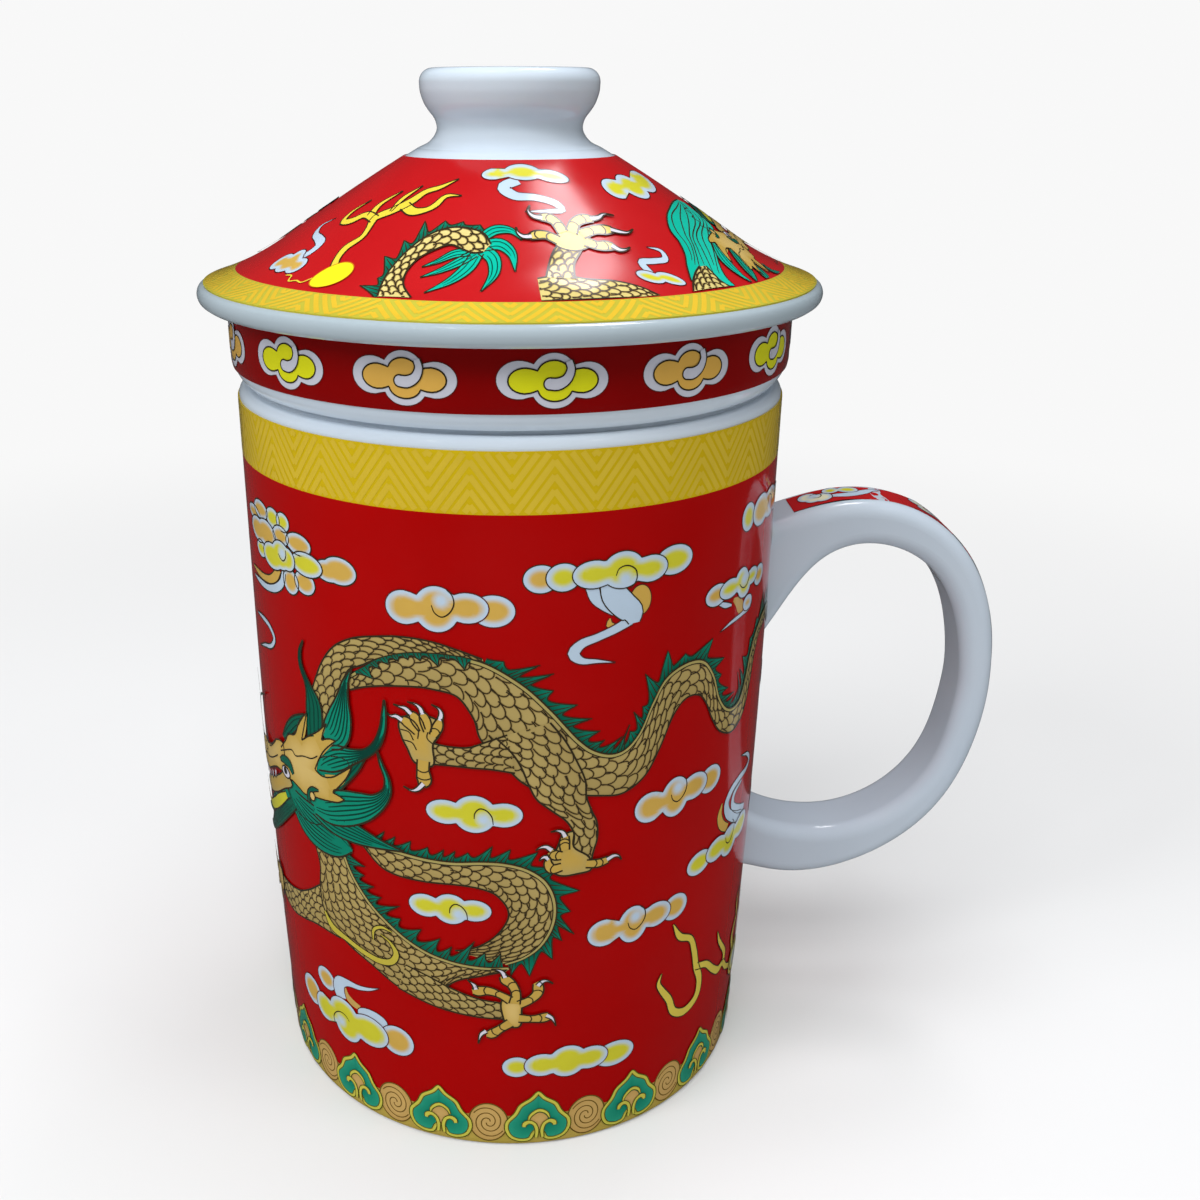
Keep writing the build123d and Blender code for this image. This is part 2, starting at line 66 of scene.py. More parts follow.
KNOB_NECK = [DOME_FOOT, (10.95, 140.95), (10.0, 142.4), (10.22, 143.7), (11.07, 144.85),
             (11.6, 145.65), KNOB_CREASE]
STRIP_HALF, STRIP_FROM, STRIP_LOW, STRIP_LIFT = 3.2, 42.5, 36.0, 0.13
SECTORS = 192                        # facets round each turned piece

# enamel colours, as linear red, green and blue
PAINT = {
    "white": (0.45, 0.56, 0.68), "yellow": (0.56, 0.53, 0.03), "peach": (0.56, 0.35, 0.07),
    "gold": (0.41, 0.31, 0.11), "gold_low": (0.35, 0.26, 0.09), "gold_shade": (0.27, 0.185, 0.06),
    "gold_face": (0.49, 0.32, 0.065), "gold_lit": (0.62, 0.44, 0.15), "stripe": (0.36, 0.30, 0.10),
    "green": (0.002, 0.19, 0.12), "green_deep": (0.002, 0.10, 0.06),
    "green_light": (0.003, 0.23, 0.145), "hair": (0.002, 0.045, 0.03),
    "claw": (0.62, 0.60, 0.68), "flame": (0.62, 0.50, 0.07), "pearl": (0.80, 0.72, 0.05),
    "tan": (0.50, 0.31, 0.09), "tan_lit": (0.56, 0.36, 0.12), "olive": (0.48, 0.40, 0.05),
    "border": (0.56, 0.52, 0.07), "leaf": (0.02, 0.30, 0.19), "black": (0.01, 0.01, 0.01),
    "border_brown": (0.13, 0.075, 0.012), "border_olive": (0.085, 0.085, 0.008),
    "collar_white": (0.50, 0.51, 0.58), "collar_yellow": (0.62, 0.62, 0.01),
    "collar_tan": (0.62, 0.36, 0.07), "chevron": (0.58, 0.41, 0.03),
    "lid_chevron": (0.66, 0.43, 0.03), "lid_green": (0.003, 0.42, 0.30),
    "lid_green_deep": (0.003, 0.27, 0.19), "lid_green_light": (0.01, 0.50, 0.37),
    "lid_scale": (0.66, 0.56, 0.22), "lid_scale_low": (0.60, 0.49, 0.17),
    "lid_face": (0.66, 0.52, 0.14), "lid_flame": (0.72, 0.56, 0.05),
    "lid_pearl": (0.84, 0.75, 0.015), "pearl_edge": (0.55, 0.20, 0.01),
    "strip_pale": (0.74, 0.72, 0.50),
}
LINES = ("dark", "maroon")           # the two plain line enamels


# ---------------------------------------------------------------- curves and grids

def shallow(start, end, bow):
    """Centre and radius of the arc that stands off its chord by bow, left of the way."""
    (x0, z0), (x1, z1) = start, end
    chord = math.hypot(x1 - x0, z1 - z0)
    radius = (chord ** 2 / 4 + bow ** 2) / (2 * abs(bow))
    reach = bow - math.copysign(radius, bow)
    return ((x0 + x1) / 2 - (z1 - z0) / chord * reach,
            (z0 + z1) / 2 + (x1 - x0) / chord * reach), radius


def on_circle(centre, radius, angles):
    """Points on a circle: the centre plus the radius at each angle."""
    return np.stack([centre[0] + radius * np.cos(angles), centre[1] + radius * np.sin(angles)], 1)


def arc(start, end, bow, count):
    """Points along the shallow arc, from its start to its end the short way round."""
    (cx, cz), radius = shallow(start, end, bow)
    first, last = (math.atan2(z - cz, x - cx) for x, z in (start, end))
    if abs(last - first) > math.pi:
        last += math.copysign(2 * math.pi, first - last)
    return on_circle((cx, cz), radius, np.linspace(first, last, count))


def corner(centre, radius, first, last, count=8):
    """Points of a round corner, from one angle to another in degrees."""
    return on_circle(centre, radius, np.radians(np.linspace(first, last, count)))


def disc(centre, size, count=40):
    """A round or oval outline: the centre plus the size at even angles."""
    turn = np.linspace(0, 2 * math.pi, count + 1)[:-1]
    return np.array(centre) + np.stack([np.cos(turn), np.sin(turn)], 1) * size


def spiral(centre, inner, outer, turns, start):
    """An evenly opening spiral: the radius grows with the angle."""
    t = np.linspace(0, 1, 70)
    turn = start + 2 * math.pi * turns * t
    way = np.stack([np.cos(turn), np.sin(turn)], 1)
    return np.array(centre) + (inner + (outer - inner) * t)[:, None] * way


def run_along(path):
    """The distance of each point of a path from its start."""
    return np.concatenate([[0], np.cumsum(np.linalg.norm(np.diff(path, axis=0), axis=1))])


def smooth(points, step, closed=False):
    """A curve through set points, evenly spaced along its length.

    Between neighbours it is a cubic whose slope at each point is that of the parabola through
    the point and its two neighbours.  Further columns, such as a width, run along with it."""
    p = np.array(points, float)
    if closed:
        p = np.vstack([p[-3:], p, p[:4]])
    hop = np.sqrt(np.linalg.norm(np.diff(p[:, :2], axis=0), axis=1))
    t = np.concatenate([[0], np.cumsum(hop)])
    slope = np.gradient(p, t, axis=0)
    u = np.linspace(0, 1, 24, endpoint=False)[None, :, None]
    h = np.diff(t)[:, None, None]
    a, b, ma, mb = p[:-1, None], p[1:, None], slope[:-1, None] * h, slope[1:, None] * h
    dense = ((2 * u ** 3 - 3 * u ** 2 + 1) * a + (u ** 3 - 2 * u ** 2 + u) * ma
             + (3 * u ** 2 - 2 * u ** 3) * b + (u ** 3 - u ** 2) * mb).reshape(-1, p.shape[1])
    dense = dense[3 * 24:(len(p) - 4) * 24 + 1] if closed else np.vstack([dense, p[-1]])
    run = run_along(dense[:, :2])
    at = np.linspace(0, run[-1], max(4, int(math.ceil(run[-1] / step)) + 1))
    even = np.stack([np.interp(at, run, column) for column in dense.T], 1)
    return even[:-1] if closed else even


def lattice(rows, columns, loop=False):
    """Triangles over a grid of points; with loop the last column joins the first."""
    r, c = np.meshgrid(np.arange(rows - 1), np.arange(columns if loop else columns - 1),
                       indexing="ij")
    a = (r * columns + c).ravel()
    b = (r * columns + (c + 1) % columns).ravel()
    return np.concatenate([np.stack([a, b, b + columns], 1),
                           np.stack([a, b + columns, a + columns], 1)])


def rings_to_middle(rings, n):
    """Triangles over rings of n points, closed by a fan to the single point after them."""
    tip = np.arange(n)
    last = (rings - 1) * n
    fan = np.stack([last + tip, last + (tip + 1) % n, np.full(n, rings * n)], 1)
    return np.vstack([lattice(rings, n, True), fan])


def normals_along(path, closed=False):
    """Unit normals to the left of a way, from the difference of each point's neighbours."""
    if closed:
        way = np.roll(path, -1, -2) - np.roll(path, 1, -2)
    else:
        way = np.gradient(path, axis=-2)
    way = way / np.maximum(np.linalg.norm(way, axis=-1, keepdims=True), 1e-9)
    return np.stack([-way[..., 1], way[..., 0]], -1)


# ---------------------------------------------------------------- painting on charts

def rgb(tint):
    """The colour of a name in PAINT, or colours as they are."""
    return np.asarray(PAINT[tint] if isinstance(tint, str) else tint, float)


def mixed(one, two, share):
    """Two colours mixed by a share of the second."""
    return rgb(one) * (1 - share) + rgb(two) * share


class Painting:
    """Flat strokes and patches in millimetres on a chart of the ware, gathered shape by shape
    and laid on the ware's own surface as one thin piece.  A shape's layer sets how far it stands
    over the ground, its tint the colours of its points.  A tint that is a name in LINES is one
    of the plain line enamels."""

    def __init__(self, seed=0):
        self.spots, self.lifts, self.tints, self.faces, self.slots = [], [], [], [], []
        self.total = 0
        self.rng = np.random.default_rng(seed)

    def gather(self, spots, lifts, tints, faces, slots):
        """Keeps a shape, its triangles turned to face up and those without an area left out."""
        a, b, c = (spots[faces[:, i]] for i in range(3))
        area = (b[:, 0] - a[:, 0]) * (c[:, 1] - a[:, 1]) - (b[:, 1] - a[:, 1]) * (c[:, 0] - a[:, 0])
        faces = np.where((area < 0)[:, None], faces[:, ::-1], faces)
        sound = np.abs(area) > 1e-7
        for all_of_it, part in ((self.spots, spots), (self.lifts, lifts), (self.tints, tints),
                                (self.faces, faces[sound] + self.total),
                                (self.slots, slots[sound])):
            all_of_it.append(part)
        self.total += len(spots)

    def add(self, spots, faces, layer, tint):
        """A shape of points (x, y) and triangles, all of them at one layer."""
        spots = spots.reshape(-1, 2)
        drawn = isinstance(tint, str) and tint in LINES
        colours = np.zeros(3) if drawn else rgb(tint)
        self.gather(spots, np.full(len(spots), layer * COAT),
                    np.broadcast_to(colours.reshape(-1, 3), (len(spots), 3)), faces,
                    np.full(len(faces), 1 + LINES.index(tint) if drawn else 0))

    def take(self, other, move, press=1.0):
        """Another painting's shapes, moved by a rule of place, their layers pressed together."""
        self.gather(move(np.vstack(other.spots)), np.concatenate(other.lifts) * press,
                    np.vstack(other.tints), np.vstack(other.faces), np.concatenate(other.slots))

    def strokes(self, paths, width, layer, tint, closed=False, keep=None):
        """Ribbons of a width along one path (k, 2) or many of a kind (m, k, 2): each point is
        moved half the width to either side along the path's normal.  keep marks the stretches
        that are drawn."""
        paths = np.asarray(paths, float)
        paths = paths[None] if paths.ndim == 2 else paths
        m, k, _ = paths.shape
        half = np.broadcast_to(np.asarray(width, float) / 2, (m, k))[..., None]
        side = normals_along(paths, closed) * half
        spots = np.stack([paths + side, paths - side], 2)
        one = lattice(k + 1 if closed else k, 2)
        one = np.where(one >= 2 * k, one - 2 * k, one)
        faces = one[None] + 2 * k * np.arange(m)[:, None, None]
        if keep is not None:
            part = np.arange(k - 1)
            faces = faces[np.concatenate([keep[:, part], keep[:, part]], 1)]
        self.add(spots, faces.reshape(-1, 3), layer, tint)

    def ink(self, paths, width, layer, closed=False, keep=None):
        """Strokes in the dark line enamel."""
        self.strokes(paths, width, layer, "dark", closed, keep)

    def draw(self, points, width, layer, step=0.4, tint="dark"):
        """A stroke along the smooth curve through set points."""
        self.strokes(smooth(points, step), width, layer, tint)

    def ruled(self, one, two, columns, layer, tint, tint_two):
        """The surface between two curves of as many points, straight from one to the other."""
        v = np.linspace(0, 1, columns)[None, :, None]
        spots = one[:, None] * (1 - v) + two[:, None] * v
        tints = np.broadcast_to(mixed(tint, tint_two, v), spots.shape[:2] + (3,))
        self.add(spots, lattice(len(one), columns), layer, tints.reshape(-1, 3))

    def patch(self, outline, layer, tint, middle=None, centre=None, rings=4, rim=0.0, step=None):
        """A closed outline filled by rings that shrink towards a centre.  The tint runs from the
        middle's to the outline's; rim is the width of the dark line round it, and step smooths
        set points into the outline first."""
        outline = smooth(outline, step, True) if step else np.asarray(outline, float)
        centre = outline.mean(0) if centre is None else np.array(centre, float)
        share = np.linspace(1, 0, rings + 1)[:-1]
        spots = (centre + share[:, None, None] * (outline - centre)).reshape(-1, 2)
        if middle is not None:
            mix = np.concatenate([np.repeat(share, len(outline)), [0]])[:, None]
            tint = mixed(middle, tint, mix ** 2)
        self.add(np.vstack([spots, centre]), rings_to_middle(rings, len(outline)), layer, tint)
        if rim:
            self.ink(outline, rim, layer + 0.5, closed=True)

    def cloud(self, lobes, core, layer, swirl=None, rim=0.15, white="white", soft=(0.35, 1.2),
              line="maroon"):
        """A cloud of round lobes (x, y, across, up).  Its outline is, in each direction from the
        middle, the furthest crossing of a lobe's ellipse; its colour goes from the white margin to
        the core by the depth under the outline, and back to white inside a swirl."""
        lobes = np.array([tuple(lobe) + (lobe[2],) * (4 - len(lobe)) for lobe in lobes], float)
        centre = np.average(lobes[:, :2], axis=0, weights=lobes[:, 2])
        way = disc((0, 0), 1, 96)
        rel = lobes[:, None, :2] - centre
        size = lobes[:, None, 2:]
        a = ((way[None] / size) ** 2).sum(-1)
        b = (way[None] * rel / size ** 2).sum(-1)
        c = ((rel / size) ** 2).sum(-1) - 1
        root = np.sqrt(np.maximum(b * b - a * c, 0))
        far = np.where(b * b > a * c, (b + root) / a, 0).max(0)
        outline = centre + way * np.maximum(far, 0.3)[:, None]
        rings = 10
        share = 1 - (np.arange(rings) / rings) ** 1.3
        spots = (centre + share[:, None, None] * (outline - centre)).reshape(-1, 2)
        spots = np.vstack([spots, centre])
        depth = np.linalg.norm(spots[:, None] - outline, axis=2).min(1)
        mix = np.clip((depth - soft[0]) / (soft[1] - soft[0]), 0, 1)
        mix = mix * mix * (3 - 2 * mix)
        if swirl is not None:
            curl = smooth(swirl, 0.25)
            inside = curl.mean(0) * 0.35 + (curl[0] + curl[-1]) * 0.325
            near = np.linalg.norm(spots - inside, axis=1)
            mix = mix * np.clip((near - 0.45) / 0.95, 0, 1)
        self.add(spots, rings_to_middle(rings, len(way)), layer, mixed(white, core, mix[:, None]))
        self.strokes(outline, rim, layer + 0.4, line, closed=True)
        if swirl is not None:
            taper = 0.2 * np.sin(np.linspace(0.35, math.pi - 0.25, len(curl))) ** 0.5
            self.ink(curl, taper, layer + 0.5)

    def ribbon(self, points, tint, layer, rim=0.22, step=0.5, across=3, line="dark"):
        """An outlined band along points (x, y, width)."""
        way = smooth(points, step)
        path, wide = way[:, :2], np.maximum(way[:, 2:], 0.02)
        side = normals_along(path) * wide / 2
        v = np.linspace(1, -1, across)[None, :, None]
        self.add(path[:, None] + side[:, None] * v, lattice(len(path), across), layer, tint)
        if rim:
            self.strokes(np.stack([path + side, path - side]), rim, layer + 0.4, line)
        return path, side

    def plume(self, points, tint, hairs, layer, ink=0.24):
        """A lock of mane: an inked band with fine dark hairs that follow it and fade out."""
        path, side = self.ribbon(points, tint, layer, rim=ink * 1.25, across=4)
        n = len(path)
        for i in range(hairs):
            v = -0.8 + 1.6 * (i + 0.5) / hairs
            first = int(n * self.rng.uniform(0.0, 0.18))
            last = max(first + 4, int(n * self.rng.uniform(0.72, 0.97)))
            hair = (path + side * v)[first:last]
            fade = np.sin(np.linspace(0.3, math.pi - 0.1, len(hair))) ** 0.5
            self.strokes(hair, ink * fade, layer + 0.5, "hair")

    def scaled(self, pairs, size, layer, stripe=False, tints=("gold", "gold_low")):
        """A stretch of the dragon's body between its back and its belly, with scales.

        pairs are (back x, back y, belly x, belly y).  Scales of a size lie in ranks across the
        body, counted from its back, and finer where the body is slim.  Each is a half ellipse that
        bulges to the next rank, and every other rank is set off by half a scale."""
        body = smooth(pairs, 0.35)
        back, belly = body[:, :2], body[:, 2:]
        self.ruled(back, belly, 6, layer, *tints)
        run = np.linalg.norm(np.diff((back + belly) / 2, axis=0), axis=1)
        wide = np.linalg.norm(belly - back, axis=1)
        local = np.clip(wide / 2.2, size * 0.55, size)
        pitch = local * 0.92
        rank = np.concatenate([[0], np.cumsum(run / ((pitch[1:] + pitch[:-1]) / 2))])
        rows = int((wide / local).max()) + 2
        k, j = np.meshgrid(np.arange(-1, int(rank[-1]) + 1), np.arange(rows), indexing="ij")
        k, j = k.ravel().astype(float), j.ravel().astype(float)
        share = local / np.maximum(wide, 0.05)
        shift = self.rng.normal(0, 0.07, (3, len(k)))
        turn = np.linspace(0, math.pi, 11)[None]
        u = k[:, None] + shift[0][:, None] + (1.08 + shift[1][:, None]) * np.sin(turn) ** 0.8
        cell = np.interp(np.clip(k, 0, None)[:, None] + 0 * u, rank, share)
        v = cell * ((j + 0.5 * (k % 2) + shift[2])[:, None] + 0.52 * np.cos(turn))
        at = np.interp(u, rank, np.arange(len(rank)))
        i = np.minimum(at.astype(int), len(rank) - 2)
        f = (at - i)[..., None]
        one, two = (edge[i] * (1 - f) + edge[i + 1] * f for edge in (back, belly))
        arcs = one * (1 - v[..., None]) + two * v[..., None]
        inside = (v > 0.0) & (v < 1.0) & (u > 0.0) & (u < rank[-1] - 0.05)
        keep = inside[:, :-1] & inside[:, 1:]
        self.strokes(arcs, 0.34, layer + 0.35, "gold_shade", keep=keep)
        self.ink(arcs, 0.16, layer + 0.7, keep=keep)
        self.ink(np.stack([back, belly]), 0.26, layer + 0.9)
        if stripe:
            inward = (belly - back) / wide[:, None]
            self.strokes(back + inward * 0.3, 0.4, layer + 1.2, "stripe")
            self.ink(back + inward * 0.54, 0.15, layer + 1.5)
        return back, belly

    def fins(self, edge, outward, layer, pitch=2.3, height=2.4, lean=0.8):
        """A fringe of green fins along an edge: a band whose outer side rises from each low notch
        to a pointed tip that leans along the edge and falls again, in hollow curves, with veins."""
        run = run_along(edge)
        count = max(3, int(run[-1] / pitch))
        notch = np.concatenate([[0], np.cumsum(self.rng.uniform(0.65, 1.35, count))])
        notch *= run[-1] / notch[-1]
        tall = height * self.rng.uniform(0.5, 1.45, count)
        out = normals_along(edge) * outward
        way = np.stack([out[:, 1], -out[:, 0]], 1) * outward
        t = np.linspace(0, 1, 15)[None]
        s = notch[:-1, None] + (notch[1:] - notch[:-1])[:, None] * t
        share = np.where(t < 0.5, 2 * t, 2 - 2 * t) ** np.where(t < 0.5, 2.0, 1.6)
        low = 0.27 * height
        up = low + (tall[:, None] - low) * share
        ahead = lean * (up - low)
        at = [np.interp(s, run, column) for column in (*edge.T, *out.T, *way.T)]
        root = np.stack(at[:2], -1)
        rim = np.stack([at[i] + at[i + 2] * up + at[i + 4] * ahead for i in (0, 1)], -1)
        v = np.linspace(0, 1, 4)[None, None, :, None]
        spots = root[:, :, None] * (1 - v) + rim[:, :, None] * v
        faces = lattice(15, 4)[None] + 60 * np.arange(count)[:, None, None]
        mix = np.broadcast_to(v * share[:, :, None, None], spots.shape[:3] + (1,))
        self.add(spots, faces.reshape(-1, 3), layer,
                 mixed("green_deep", "green_light", mix).reshape(-1, 3))
        self.ink(rim.reshape(-1, 2), 0.2, layer + 0.4)
        for low_end, high_end, part in ((7, 7, 0.8), (3, 5, 0.7), (11, 9, 0.6)):
            f = np.linspace(0.05, part, 6)[None, :, None]
            self.ink(root[:, low_end, None] * (1 - f) + rim[:, high_end, None] * f,
                     (0.17, 0.17, 0.15, 0.13, 0.1, 0.05), layer + 0.45)

    def finger(self, points, claw, layer, tint="gold_face", knuckles=2):
        """A toe: a plump inked band with knuckle lines, and a white claw hooked from its tip."""
        path, side = self.ribbon(points, tint, layer + 0.6, step=0.3, rim=0.24)
        for i in range(knuckles):
            k = min(int(len(path) * (0.35 + 0.3 * i)), len(path) - 2)
            bow = path[k] - path[max(k - 1, 0)]
            t = np.linspace(-1, 1, 7)[:, None]
            self.ink(path[k] + side[k] * t + bow * (1.3 * (1 - t ** 2)), 0.18, layer + 1.2)
        hook = [(x, y, w) for (x, y), w in zip(claw, (0.75, 0.6, 0.3, 0.05))]
        self.ribbon(hook, "claw", layer + 1.0, step=0.25, rim=0.2)


# ---------------------------------------------------------------- charts of the ware

def wall_radius(z):
    """The mug's outside: straight above TAPER_Z, one long arc below it, and a quarter of an
    ellipse round the foot's edge."""
    z = np.asarray(z, float)
    drop = np.clip(TAPER_Z - np.maximum(z, FOOT_Z), 0, None)
    side = MUG_R - TAPER_ARC + np.sqrt(TAPER_ARC ** 2 - drop ** 2)
    low = np.clip(1 - z / FOOT_Z, 0, 1)
    return side - (FOOT_R - FOOT_RING_R) * (1 - np.sqrt(1 - low ** 2))


def collar_radius(z):
    """The infuser's collar: straight, with an arc that draws its lower part in."""
    (cx, cz), radius = shallow((COLLAR_EDGE_R, COLLAR_LOW), (COLLAR_R, COLLAR_STRAIGHT), COLLAR_BOW)
    z = np.asarray(z, float)
    side = math.copysign(1, (COLLAR_EDGE_R + COLLAR_R) / 2 - cx)
    curve = cx + side * np.sqrt(radius ** 2 - (np.minimum(z, COLLAR_STRAIGHT) - cz) ** 2)
    return np.where(z < COLLAR_STRAIGHT, curve, COLLAR_R)


def upright_chart(radius, span):
    """Chart of a turned wall: across is the arc at the radius span, up is the height."""
    def place(spots, lift):
        turn, z = spots[:, 0] / span, spots[:, 1]
        out = np.stack([np.sin(turn), -np.cos(turn), 0 * turn], 1)
        points = out * (radius(z) + TRANSFER + lift)[:, None]
        points[:, 2] = z
        normal = out.copy()
        normal[:, 2] = -(radius(z + 0.05) - radius(z - 0.05)) / 0.1
        return points, normal
    return place


on_wall, on_collar = upright_chart(wall_radius, MUG_R), upright_chart(collar_radius, COLLAR_R)


def lid_height(r):
    """The lid's top from the bulging dome out to the hollow flare: two shallow arcs."""
    r = np.asarray(r, float)
    (dx, dz), dr = shallow(DOME_FOOT, SHOULDER, DOME_BOW)
    (fx, fz), fr = shallow(SHOULDER, BRIM, FLARE_BOW)
    dome = dz + np.sqrt(dr ** 2 - (np.minimum(r, SHOULDER[0]) - dx) ** 2)
    flare = fz - np.sqrt(fr ** 2 - (np.maximum(r, SHOULDER[0]) - fx) ** 2)
    return np.where(r < SHOULDER[0], dome, flare)


def on_lid(spots, lift):
    """Chart of the lid: its plan, with +Y away."""
    r = np.maximum(np.linalg.norm(spots, axis=1), 1e-6)
    slope = (lid_height(r + 0.05) - lid_height(r - 0.05)) / 0.1
    z = lid_height(r) + TRANSFER + lift * 1.15
    normal = np.column_stack([-slope[:, None] * spots / r[:, None], np.ones(len(r))])
    return np.column_stack([spots, z]), normal


# ---------------------------------------------------------------- materials

def nodes_of(name):
    """A new material with its tree of nodes and its shader."""
    material = bpy.data.materials.new(name)
    material.use_nodes = True
    return material, material.node_tree, material.node_tree.nodes["Principled BSDF"]


def node(tree, kind, inputs=(), **settings):
    """A shader node with its settings; each input is a value or the socket that feeds it."""
    made = tree.nodes.new("ShaderNode" + kind)
    for name, value in settings.items():
        setattr(made, name, value)
    for name, value in dict(inputs).items():
        if isinstance(value, bpy.types.NodeSocket):
            tree.links.new(value, made.inputs[name])
        else:
            made.inputs[name].default_value = value
    return made


def mottled(tree, place, scale, detail=4.0, low=0.0, high=1.0):
    """Noise mapped to a range."""
    noise = node(tree, "TexNoise", {"Scale": scale, "Detail": detail, "Vector": place})
    span = {"From Min": 0.3, "From Max": 0.7, "To Min": low, "To Max": high}
    return node(tree, "MapRange", {**span, "Value": noise.outputs["Fac"]}).outputs["Result"]


def glaze(name, colour, second=None, scale=45, rough=(0.06, 0.12), wave=0.00003, wave_scale=70,
          tint=None, specular=0.5):
    """Fired glaze or enamel: a colour that drifts a little towards a second one, a gloss that
    varies, and a slow waviness of the surface.  tint names a point colour that it follows."""
    material, tree, shader = nodes_of(name)
    place = node(tree, "TexCoord").outputs["Object"]
    shader.inputs["Base Color"].default_value = (*colour, 1)
    shader.inputs["Specular IOR Level"].default_value = specular
    tree.links.new(mottled(tree, place, scale * 2.3, 2.0, *rough), shader.inputs["Roughness"])
    if second:
        mix = node(tree, "Mix", data_type="RGBA", blend_type="MULTIPLY" if tint else "MIX")
        tree.links.new(mottled(tree, place, scale), mix.inputs["Factor"])
        mix.inputs["A"].default_value = (*colour, 1)
        mix.inputs["B"].default_value = (*second, 1)
        if tint:
            read = node(tree, "Attribute", attribute_name=tint)
            tree.links.new(read.outputs["Color"], mix.inputs["A"])
        tree.links.new(mix.outputs["Result"], shader.inputs["Base Color"])
    height = node(tree, "TexNoise", {"Scale": wave_scale, "Detail": 2.0, "Vector": place})
    bump = node(tree, "Bump", {"Distance": wave, "Strength": 1.0, "Height": height.outputs["Fac"]})
    tree.links.new(bump.outputs["Normal"], shader.inputs["Normal"])
    return material


MATERIAL = {
    "porcelain": glaze("porcelain_glaze", (0.52, 0.60, 0.69), (0.56, 0.63, 0.70), 30),
    # brim: the lid's white porcelain painted darker, as painted shade on its rolled edge
    "brim": glaze("brim_glaze_painted_shade", (0.33, 0.40, 0.44), (0.36, 0.42, 0.46), 30),
    # handle: the same white porcelain painted darker, as painted shade
    "handle": glaze("handle_glaze_painted_shade", (0.46, 0.53, 0.61), (0.49, 0.55, 0.62), 30),
    "red": glaze("red_enamel", (0.36, 0.0006, 0.0006), (0.32, 0.0004, 0.0004), 40, specular=0.25),
    "collar_red": glaze("collar_red_enamel", (0.20, 0.0005, 0.0005), (0.17, 0.0004, 0.0004), 40,
                        specular=0.25),
    "lid_red": glaze("lid_red_enamel", (0.46, 0.010, 0.012), (0.41, 0.006, 0.008), 40,
                     rough=(0.14, 0.22), specular=0.4),
    "yellow": glaze("rim_yellow_enamel", (0.56, 0.40, 0.004), (0.51, 0.35, 0.003), 60,
                    specular=0.4),
    "lid_yellow": glaze("lid_yellow_enamel", (0.47, 0.43, 0.045), (0.43, 0.38, 0.035), 55,
                        specular=0.4),
    "foot_gold": glaze("foot_gold_enamel", (0.46, 0.33, 0.07), (0.40, 0.30, 0.05), 90),
    "tinted": glaze("painted_enamel", (1, 1, 1), (0.93, 0.93, 0.92), 160, tint="tint",
                    specular=0.35),
    "dark": glaze("dark_line_enamel", (0.030, 0.022, 0.010), rough=(0.1, 0.2)),
    "maroon": glaze("maroon_line_enamel", (0.085, 0.012, 0.010), rough=(0.1, 0.2)),
    "unglazed": glaze("unglazed_foot", (0.62, 0.60, 0.56), (0.52, 0.49, 0.44), 260,
                      rough=(0.6, 0.8), wave=0.00008, wave_scale=900),
}


# ---------------------------------------------------------------- making pieces

def finish_mesh(name, points, faces, body, wares, normals=None, slots=None, sharp=None):
    """A mesh object in metres that rides on a body, with smooth shading; wares are names in
    MATERIAL."""
    mesh = bpy.data.meshes.new(name)
    faces = np.ascontiguousarray(faces, np.int32)
    mesh.vertices.add(len(points))
    mesh.vertices.foreach_set("co", (np.asarray(points) / 1000).astype(np.float32).ravel())
    mesh.loops.add(faces.size)
    mesh.loops.foreach_set("vertex_index", faces.ravel())
    mesh.polygons.add(len(faces))
    mesh.polygons.foreach_set("loop_start", np.arange(0, faces.size, 3, dtype=np.int32))
    mesh.update(calc_edges=True)
    mesh.polygons.foreach_set("use_smooth", np.ones(len(faces), bool))
    for ware in wares:
        mesh.materials.append(MATERIAL[ware])
    if slots is not None:
        mesh.polygons.foreach_set("material_index", slots.astype(np.int32))
    if sharp is not None:
        ends = np.empty(len(mesh.edges) * 2, np.int32)
        mesh.edges.foreach_get("vertices", ends)
        mesh.edges.foreach_set("use_edge_sharp", sharp(ends.reshape(-1, 2)))
    if normals is not None:
        unit = normals / np.linalg.norm(normals, axis=1, keepdims=True)
        mesh.normals_split_custom_set_from_vertices(unit.astype(np.float32))
    mesh.update()
    piece = bpy.data.objects.new(name, mesh)
    bpy.context.scene.collection.objects.link(piece)
    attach(piece, body)
    return piece


def turned(name, profile, body, wares, replaces, slots=None):
    """A surface of revolution: each profile point (radius, height) swept round the axis.

    Points on the axis close in a single pole, and an edge is sharp where the profile turns by
    more than 35 degrees.  slots gives a ware to each stretch of the profile."""
    profile = np.asarray(profile, float)
    gap = np.linalg.norm(np.diff(profile, axis=0), axis=1) > 1e-6
    profile = profile[np.concatenate([[True], gap])]
    if slots is not None:
        slots = np.asarray(slots)[gap]
    way = np.diff(profile, axis=0)
    way = way / np.linalg.norm(way, axis=1, keepdims=True)
    bent = np.zeros(len(profile), bool)
    bent[1:-1] = (way[1:] * way[:-1]).sum(1) < math.cos(math.radians(35))
    a = np.arange(SECTORS) * 2 * math.pi / SECTORS
    radius, height = profile[:, :1], profile[:, 1:]
    points = np.stack([radius * np.cos(a), radius * np.sin(a), height + 0 * a], -1).reshape(-1, 3)
    faces = lattice(len(profile), SECTORS, True)[:, ::-1]
    index = np.arange(len(points))
    for i in np.flatnonzero(profile[:, 0] < 1e-6):
        index[i * SECTORS:(i + 1) * SECTORS] = i * SECTORS
    ring = faces.min(1) // SECTORS
    faces = index[faces]
    solid = (faces != np.roll(faces, 1, 1)).all(1)
    used, faces = np.unique(faces[solid], return_inverse=True)
    row = used // SECTORS
    piece = finish_mesh(name, points[used], faces.reshape(-1, 3), body, wares,
                        slots=None if slots is None else slots[ring[solid]],
                        sharp=lambda e: (row[e[:, 0]] == row[e[:, 1]]) & bent[row[e[:, 0]]])
    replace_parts(piece, replaces)


